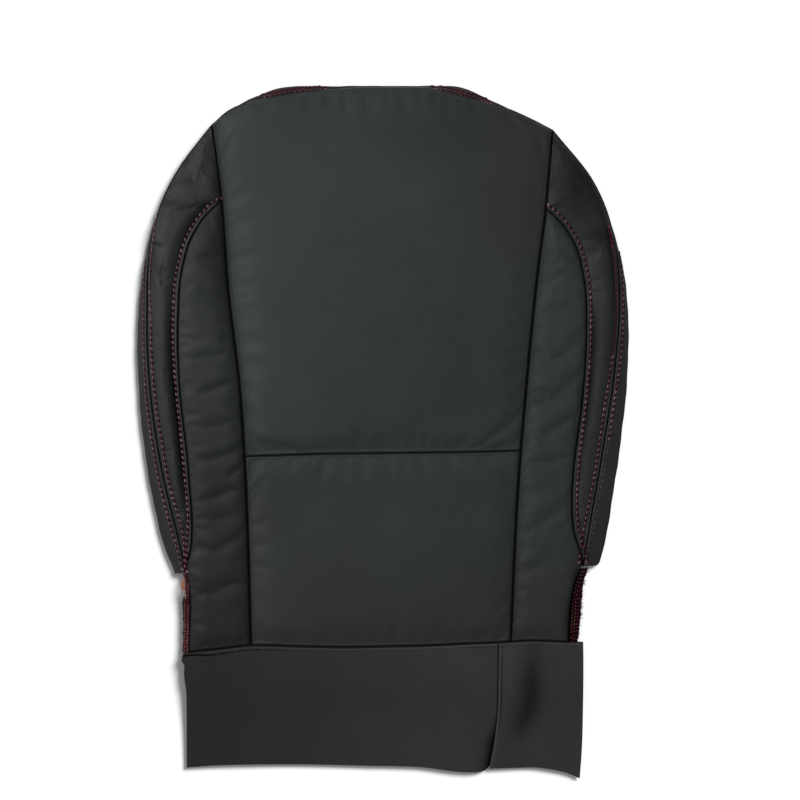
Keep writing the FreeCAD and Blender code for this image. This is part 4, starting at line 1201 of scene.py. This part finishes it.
rowStep = 0.0008
rowLift = 0.0002
rowLooks = {
    "left_curve_stitching": [
        row(
            "curveLeft", {"Under": yarn["plumThread"]}, -146, 239.5, -146, 1, -132, -2.1, -120, -4.5,
            -85, -3.4, -30, -4.3, 35, -3.5, 90, -4.6, 240, -4.7, end=(-0.1696, 0.2448))],
    "right_curve_stitching": [
        row(
            "curveRight", crimson, -136, 231.5, -136, 5, -80, 5.2, -20, 4.6, 25, 3.9, 80, 4.5, 232, 4.7,
            end=(0.1738, 0.2376))],
    "left_gusset_stitching": [
        row(
            "rimLeft", {"Seed": 11}, -146, 118, -146, 0, -132, 2, -120, 4.3, -110, 5.3, -60, 4.5, -15, 5,
            50, 4.1, 118, 4),
        row(
            "rimLeft", dict(rope, Seed=12), 116, 235, 116, 4, 140, 2.6, 196, 2.3, 212, 1.3, 224, -0.4,
            235, -1.6),
        row(
            "rimLeft", {"Seed": 14, "Width": 0.0021}, -143, 50, -143, -2.7, -120, -4, -85, -5.2, -20, -5.3,
            50, -5),
        row("rimLeft", dict(fine, Seed=15), 50, 183, 50, -5, 80, -4.3, 183, -4.2)],
    "right_gusset_stitching": [
        row(
            "rimRight", dict(crimson, Seed=21), -137, 78, -137, -4.6, -100, -5.3, -60, -4.2, -15, -4.5,
            35, -5.2, 78, -3.5),
        row(
            "rimRight", dict(rope, Seed=22, Stitch=yarn["redThread"]), 76, 214, 76, -3.5, 150, -3.2,
            190, -2.7, 214, -2.2),
        row(
            "rimRight", {"Seed": 23, "Width": 0.0012, "Band": 0.0036, "Stitch": yarn["redThread"]},
            196, 215, 196, -3.6, 215, -3),
        row(
            "rimRight",
            {
                "Seed": 24, "Width": 0.0018, "Band": 0.0024, "Stitch": yarn["greyThread"],
                "Under": yarn["greyThread"],
            },
            -137, -8, -137, 4.6, -8, 4.7),
        row(
            "rimRight", dict(crimson, Seed=25, Width=0.0018, Band=0.0034), -6, 188, -6, 4.7, 30, 4, 90, 5.2,
            120, 4.2, 188, 4)],
}

# Rows along the arch at the top: from x to x, distance outside the seam, seed, thread, length, width, bed
wedgeRows = [
    (-0.143, -0.058, 0.0048, 31, "wedgeThread", 0.0056, 0.0015, 0.0026),
    (-0.134, -0.058, 0.0027, 34, "bloodThread", 0.0056, 0.0016, 0.0028),
    (-0.124, -0.060, 0.0006, 35, "salmonThread", 0.0034, 0.0016, 0.0024),
    (-0.168, -0.142, -0.0004, 36, "wedgeThread", 0.0050, 0.0009, 0.0010),
    (0.050, 0.110, 0.0046, 37, "bloodThread", 0.0056, 0.0015, 0.0026),
    (0.050, 0.112, 0.0026, 38, "wedgeThread", 0.0056, 0.0015, 0.0028),
    (0.056, 0.114, 0.0004, 39, "salmonThread", 0.0050, 0.0010, 0.0014),
    (0.112, 0.160, -0.0004, 40, "wedgeThread", 0.0050, 0.0008, 0.0010),
]


def rowPath(row):  # beside a sewn line, to the right of the way up
    path = seamPath(row["seam"], *row["span"])
    path = offsetPath(path, -smoothLine(row["beside"])(path[:, 1])[:, None])
    if row["end"]:
        path = np.vstack([path[path[:, 1] < row["end"][1] + 0.0002], row["end"]])
    return evenly(path, rowStep)


def makeThreads():
    faces = surfaceTree([made["face"] for made in madePanels.values()]
                        + [made["piece"] for made in gussets.values()])
    made = {}
    for name, rows in rowLooks.items():
        parts = [(onSurface(faces, rowPath(row), rowLift), row["look"]) for row in rows]
        made[name] = threadRows(name + "_thread", parts)
    arch = evenly(archPath(), rowStep)
    parts = []
    for low, high, offset, seed, colour, length, width, bed in wedgeRows:
        path = offsetPath(arch, offset)
        path = path[(path[:, 0] > low) & (path[:, 0] < high)]
        look = {"Seed": seed, "Stitch": yarn[colour], "Length": length, "Width": width, "Band": bed}
        parts.append((onSurface(faces, path, rowLift), dict(look, Pit=0.0005, Pitch=0.0050, Slant=0.10)))
    made["top_gusset_stitching"] = threadRows("top_gusset_stitching_thread", parts)
    return made


threads = makeThreads()
print("threads sewn")


# Raw edges between the gusset's foot and the flap

rawLook = {
    "left": {
        "outer": pairs(
            -210.4, -230, -210.1, -200, -210, -176, -208.6, -169, -207.8, -162, -207.8, -153, -210, -145),
        "seed": 5, "fibres": 60, "bead": 0.002, "slant": 0.62, "pitch": 0.0031, "length": 0.004,
        "rows": [
            (0.24, [(0.0, 0.6, "salmonThread"), (0.58, 0.86, "redThread"), (0.84, 1.0, "bloodThread")]),
            (0.66, [(0.0, 0.62, "salmonThread"), (0.6, 0.8, "redThread"), (0.78, 1.0, "bloodThread")])],
        "dark": [0.97, 0.95, 0.9, 0.85, 0.8, 0.75, 0.75, 0.75, 0.75, 0.75, 0.75, 0.75, 0.85],
    },
    "bed": {"duskThread": "bloodThread", "copperThread": "bloodThread"},
    "right": {
        "outer": pairs(
            204.7, -216.3, 206.3, -205.8, 207.9, -190, 208.9, -174.3, 210, -161, 211.2, -154.5, 215, -144.9),
        "seed": 8, "fibres": 150, "bead": 0.0016, "slant": 0.75, "pitch": 0.0036, "length": 0.0027,
        "rows": [
            (
                0.24,
                [
                    (0.0, 0.14, "wedgeThread"), (0.14, 0.52, "copperThread"), (0.52, 0.72, "bloodThread"),
                    (0.72, 1.0, "duskThread")]),
            (
                0.48,
                [
                    (0.0, 0.2, "redThread"), (0.2, 0.4, "copperThread"), (0.4, 0.58, "wedgeThread"),
                    (0.58, 0.8, "redThread"), (0.8, 1.0, "duskThread")]),
            (
                0.72,
                [
                    (0.0, 0.16, "copperThread"), (0.16, 0.44, "redThread"), (0.44, 0.64, "wedgeThread"),
                    (0.64, 0.8, "redThread"), (0.8, 1.0, "duskThread")]),
            (0.93, [(0.0, 0.5, "bloodThread"), (0.5, 0.8, "wedgeThread"), (0.8, 1.0, "duskThread")])],
        "dark": [0.99, 0.99, 0.99, 0.99, 0.98, 0.97, 0.95, 0.93, 0.92, 0.9, 0.9, 0.9, 0.92],
    },
    "under": 0.001, "below": 0.0005, "thick": 0.001, "fibre": 0.00014,
}


def tubes(name, lines, radius, material, sides):  # fibres, as thin tapering tubes
    points, faces = [], []
    turn = [2 * math.pi * k / sides for k in range(sides)]
    for line in lines:
        along = np.gradient(line, axis=0)
        along /= np.linalg.norm(along, axis=1)[:, None] + 1e-12
        side = np.cross(along, (0.13, 0.21, 0.97))
        side /= np.linalg.norm(side, axis=1)[:, None] + 1e-12
        other = np.cross(along, side)
        first = len(points)
        last = len(line) - 1
        for i, place in enumerate(line):
            thin = radius * (1 - 0.6 * (i / last) ** 3)
            points += [tuple(place + thin * (math.cos(a) * side[i] + math.sin(a) * other[i])) for a in turn]
        for i in range(last):
            for k in range(sides):
                a, b = first + i * sides + k, first + i * sides + (k + 1) % sides
                faces.append((a, b, b + sides, a + sides))
        faces.append(tuple(first + k for k in reversed(range(sides))))
        faces.append(tuple(first + last * sides + k for k in range(sides)))
    made = meshPiece(name, points, [], faces)
    dress(made, material)
    return made


def makeRawEdge(side):
    look = rawLook[side]
    sign = -1 if side == "left" else 1
    bend, rim = "curve" + side.capitalize(), "rim" + side.capitalize()
    count, columns = 90, len(look["dark"])
    inner = seamPath(bend, meetHem(bend) - 0.0006, seams[rim][-1][0] - 0.002, count)
    random = np.random.default_rng(look["seed"])
    rough = np.convolve(random.normal(0, 1, count + 4), np.ones(5) / 5, "valid") * 0.0006
    t = np.linspace(0, 1, count)
    outer = smoothLine([(y, x) for x, y in look["outer"]])(inner[:, 1])
    width = np.maximum(sign * (outer - inner[:, 0]), 0.003)
    grid = np.empty((count, columns, 3))
    for k in range(columns):
        s = k / (columns - 1)
        lumps = 0.0005 * np.sin(t * 70 + 5 * s) * math.sin(9 * s + 1) + 0.7 * rough * s
        grid[:, k, 0] = inner[:, 0] + sign * (s * width + s * s * rough)
        grid[:, k, 1] = inner[:, 1]
        grid[:, k, 2] = 0.0110 + 0.0012 * math.sin(math.pi * min(1.0, s * 1.25)) - 0.0018 * s ** 4 + lumps
    grid[:, 0, 0] -= sign * rawLook["under"]
    grid[:, 0, 2] -= rawLook["below"]
    strip = gridMesh(side + "_raw_edge_strip", grid, flip=side == "left")
    # painted shade across the strip, by column, darkest beside the panel
    crease = np.repeat([look["dark"]], count, axis=0)
    dress(strip, leather["gusset"], crease=crease, wear=np.zeros_like(crease))
    thicken(strip, rawLook["thick"])
    surface = surfaceTree([strip])
    parts = []
    for i, (share, colours) in enumerate(look["rows"]):
        path = inner + np.column_stack([sign * share * width, np.zeros(count)])
        line = onSurface(surface, evenly(path, rowStep), 0.0003)
        last = len(line) - 1
        bead = {"Pitch": look["pitch"], "Length": look["length"], "Width": look["bead"], "Pit": 0.0008,
                "Slant": look["slant"] * (1 if i % 2 else -1), "Band": 0.0022, "Seed": look["seed"] + 3 * i}
        for start, end, colour in colours:
            bed = yarn[rawLook["bed"].get(colour, "maroonThread")]
            piece = line[int(start * last):int(end * last) + 1]
            parts.append((piece, dict(bead, Stitch=yarn[colour], Under=bed)))
    thread = threadRows(side + "_raw_edge_stitching_thread", parts)
    fibres = []
    for _ in range(look["fibres"]):
        row = random.integers(0, count)
        base = grid[row, -1 if random.random() < 0.6 else random.integers(2, columns - 1)].copy()
        length = random.uniform(0.0010, 0.0032)
        lean = random.normal(0, 0.8)
        way = np.array([sign * math.cos(lean), math.sin(lean), random.uniform(-0.2, 0.3)])
        curl = np.array([random.normal(0, 0.3), random.normal(0, 0.6), random.normal(0, 0.15)])
        s = np.linspace(0, 1, 5)[:, None]
        fibres.append(base + way * s * length + curl * s ** 2 * length * 0.6)
    fray = tubes(side + "_raw_edge_fray", fibres, rawLook["fibre"], yarn["maroonThread"], 4)
    return strip, thread, fray


# What peeps out at the head of the left raw edge: a curl of foam, and a tuft of pale backing threads
scrapLook = {
    "foam": [
        (-0.2078, -0.1558, 0.012), (-0.2098, -0.1572, 0.0128), (-0.2108, -0.1602, 0.0128),
        (-0.2102, -0.1636, 0.0128), (-0.2084, -0.1652, 0.013), (-0.2079, -0.1618, 0.0134)],
    "foamRadius": 0.0011, "tuftFrom": (-0.2086, -0.1664, 0.0134), "tuftTo": (-0.2072, -0.1758, 0.0134),
    "tuftWidth": 0.0034, "tuftCount": 22,
}


def makeScraps():
    random = np.random.default_rng(17)
    curl = curveThrough(scrapLook["foam"], 8)
    foam = tubes("left_raw_edge_foam", [curl], scrapLook["foamRadius"], scrapFoam, 8)
    start, end = np.array(scrapLook["tuftFrom"]), np.array(scrapLook["tuftTo"])
    lines = []
    for _ in range(scrapLook["tuftCount"]):
        shift = np.array([random.uniform(-0.5, 0.5) * scrapLook["tuftWidth"], random.uniform(-0.0008, 0.0008),
                          random.uniform(-0.0003, 0.0007)])
        bow = np.array([random.normal(0, 0.0007), 0, random.uniform(0, 0.0006)])
        s = np.linspace(0, random.uniform(0.6, 1.0), 7)[:, None]
        lines.append(start + shift + (end - start) * s + bow * np.sin(math.pi * s))
    tuft = tubes("left_raw_edge_tuft", lines, 0.00026, yarn["paleThread"], 4)
    return foam, tuft


rawEdges = {side: makeRawEdge(side) for side in ("left", "right")}
scrapPiece, tuftPiece = makeScraps()
print("raw edges frayed")


# What rides on what, and what each piece stands for

def place(piece, nodeName, slotName):
    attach(piece, "cover")
    if nodeName:
        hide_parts(nodeName)


for panelName, made in madePanels.items():
    place(made["face"], panelName + "_face", "face_leatherette")
    place(made["foam"], panelName + "_foam", "pad_foam")
    place(made["backing"], panelName + "_backing", "backing_cloth")
    size = [float(made["size"][0]), float(made["size"][1])]
for gussetName, made in gussets.items():
    place(made["piece"], gussetName, "gusset_leatherette")
place(backPiece, "back_panel", "back_leatherette")
for threadName, piece in threads.items():
    place(piece, threadName, "red_thread")
for side, (strip, thread, fray) in rawEdges.items():
    place(strip, side + "_raw_edge", "raw_edge")
    place(thread, side + "_raw_edge_stitching", "red_thread")
    place(fray, None, "red_thread")
place(scrapPiece, None, "pad_foam")
place(tuftPiece, None, "backing_cloth")
hemMiddle = float(hemAt(0.0))
for nodeName, piece, size, area in flaps:
    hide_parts(nodeName)
    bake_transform(piece)


# Floor, lamps and camera

stageLook = {
    "floorSize": 6.0, "floorColour": 0.9, "floorGlow": 0.06, "skyGlow": 0.24,
    "cameraAt": (0.01785, 0.0336, 3.2), "viewWidth": 0.84, "focusHeight": 0.010, "sensor": 36,
}


def makeFloor():
    half = stageLook["floorSize"] / 2
    corners = [(-half, -half, 0), (half, -half, 0), (half, half, 0), (-half, half, 0)]
    floor = meshPiece("floor", corners, [], [(0, 1, 2, 3)], smooth=False)
    material, tree, shader = newMaterial("paleFloor")
    grey = stageLook["floorColour"]
    rays = node(tree, "ShaderNodeLightPath").outputs
    seen = maths(tree, "MAXIMUM", rays["Is Camera Ray"], rays["Is Glossy Ray"])
    seen = maths(tree, "MAXIMUM", seen, rays["Is Transmission Ray"])
    glow = maths(tree, "MULTIPLY", seen, stageLook["floorGlow"])
    setInputs(tree, shader, {"Base Color": (grey, grey, grey, 1), "Roughness": 0.9, "Specular IOR Level": 0.1,
                             "Emission Color": (1, 1, 1, 1), "Emission Strength": glow})
    dress(floor, material)
    return floor


def lamp(name, kind, way, settings, onlyFloor=False):  # a lamp for all but the floor, or for the floor alone
    data = bpy.data.lights.new(name, kind)
    for key, value in settings.items():
        setattr(data, key, value)
    made = linked(name, data)
    made.rotation_mode = "QUATERNION"
    made.rotation_quaternion = way.to_track_quat("-Z", "Y")
    group = bpy.data.collections.new(name + "Receivers")
    group.objects.link(floor)
    group.collection_objects[0].light_linking.link_state = "INCLUDE" if onlyFloor else "EXCLUDE"
    made.light_linking.receiver_collection = group
    return made


def areaLamp(name, place, aim, size, power):
    settings = {"shape": "RECTANGLE", "size": size, "size_y": size, "energy": power}
    lamp(name, "AREA", Vector(aim) - Vector(place), settings).location = place


floor = makeFloor()
lamp("floorLamp", "SUN", -Vector((0.74, 0.67, 1.05)), {"angle": 0.45, "energy": 3.75}, onlyFloor=True)
areaLamp("skyLamp", (-0.85, 0.50, 1.30), (-0.05, 0.05, 0), 1.0, 14)
areaLamp("sideLamp", (1.0, 0.6, 1.7), (0, 0, 0), 1.2, 2)
world = bpy.data.worlds.new("studio")
world.use_nodes = True
background = world.node_tree.nodes["Background"]
setInputs(world.node_tree, background, {"Color": (1, 1, 1, 1), "Strength": stageLook["skyGlow"]})
scene.world = world
scene.view_settings.view_transform = "Standard"

cameraData = bpy.data.cameras.new("camera")
camera = linked("camera", cameraData)
camera.location = stageLook["cameraAt"]
cameraData.sensor_width = stageLook["sensor"]
distance = stageLook["cameraAt"][2] - stageLook["focusHeight"]
cameraData.lens = stageLook["sensor"] * distance / stageLook["viewWidth"]
scene.camera = camera
print("stage set")
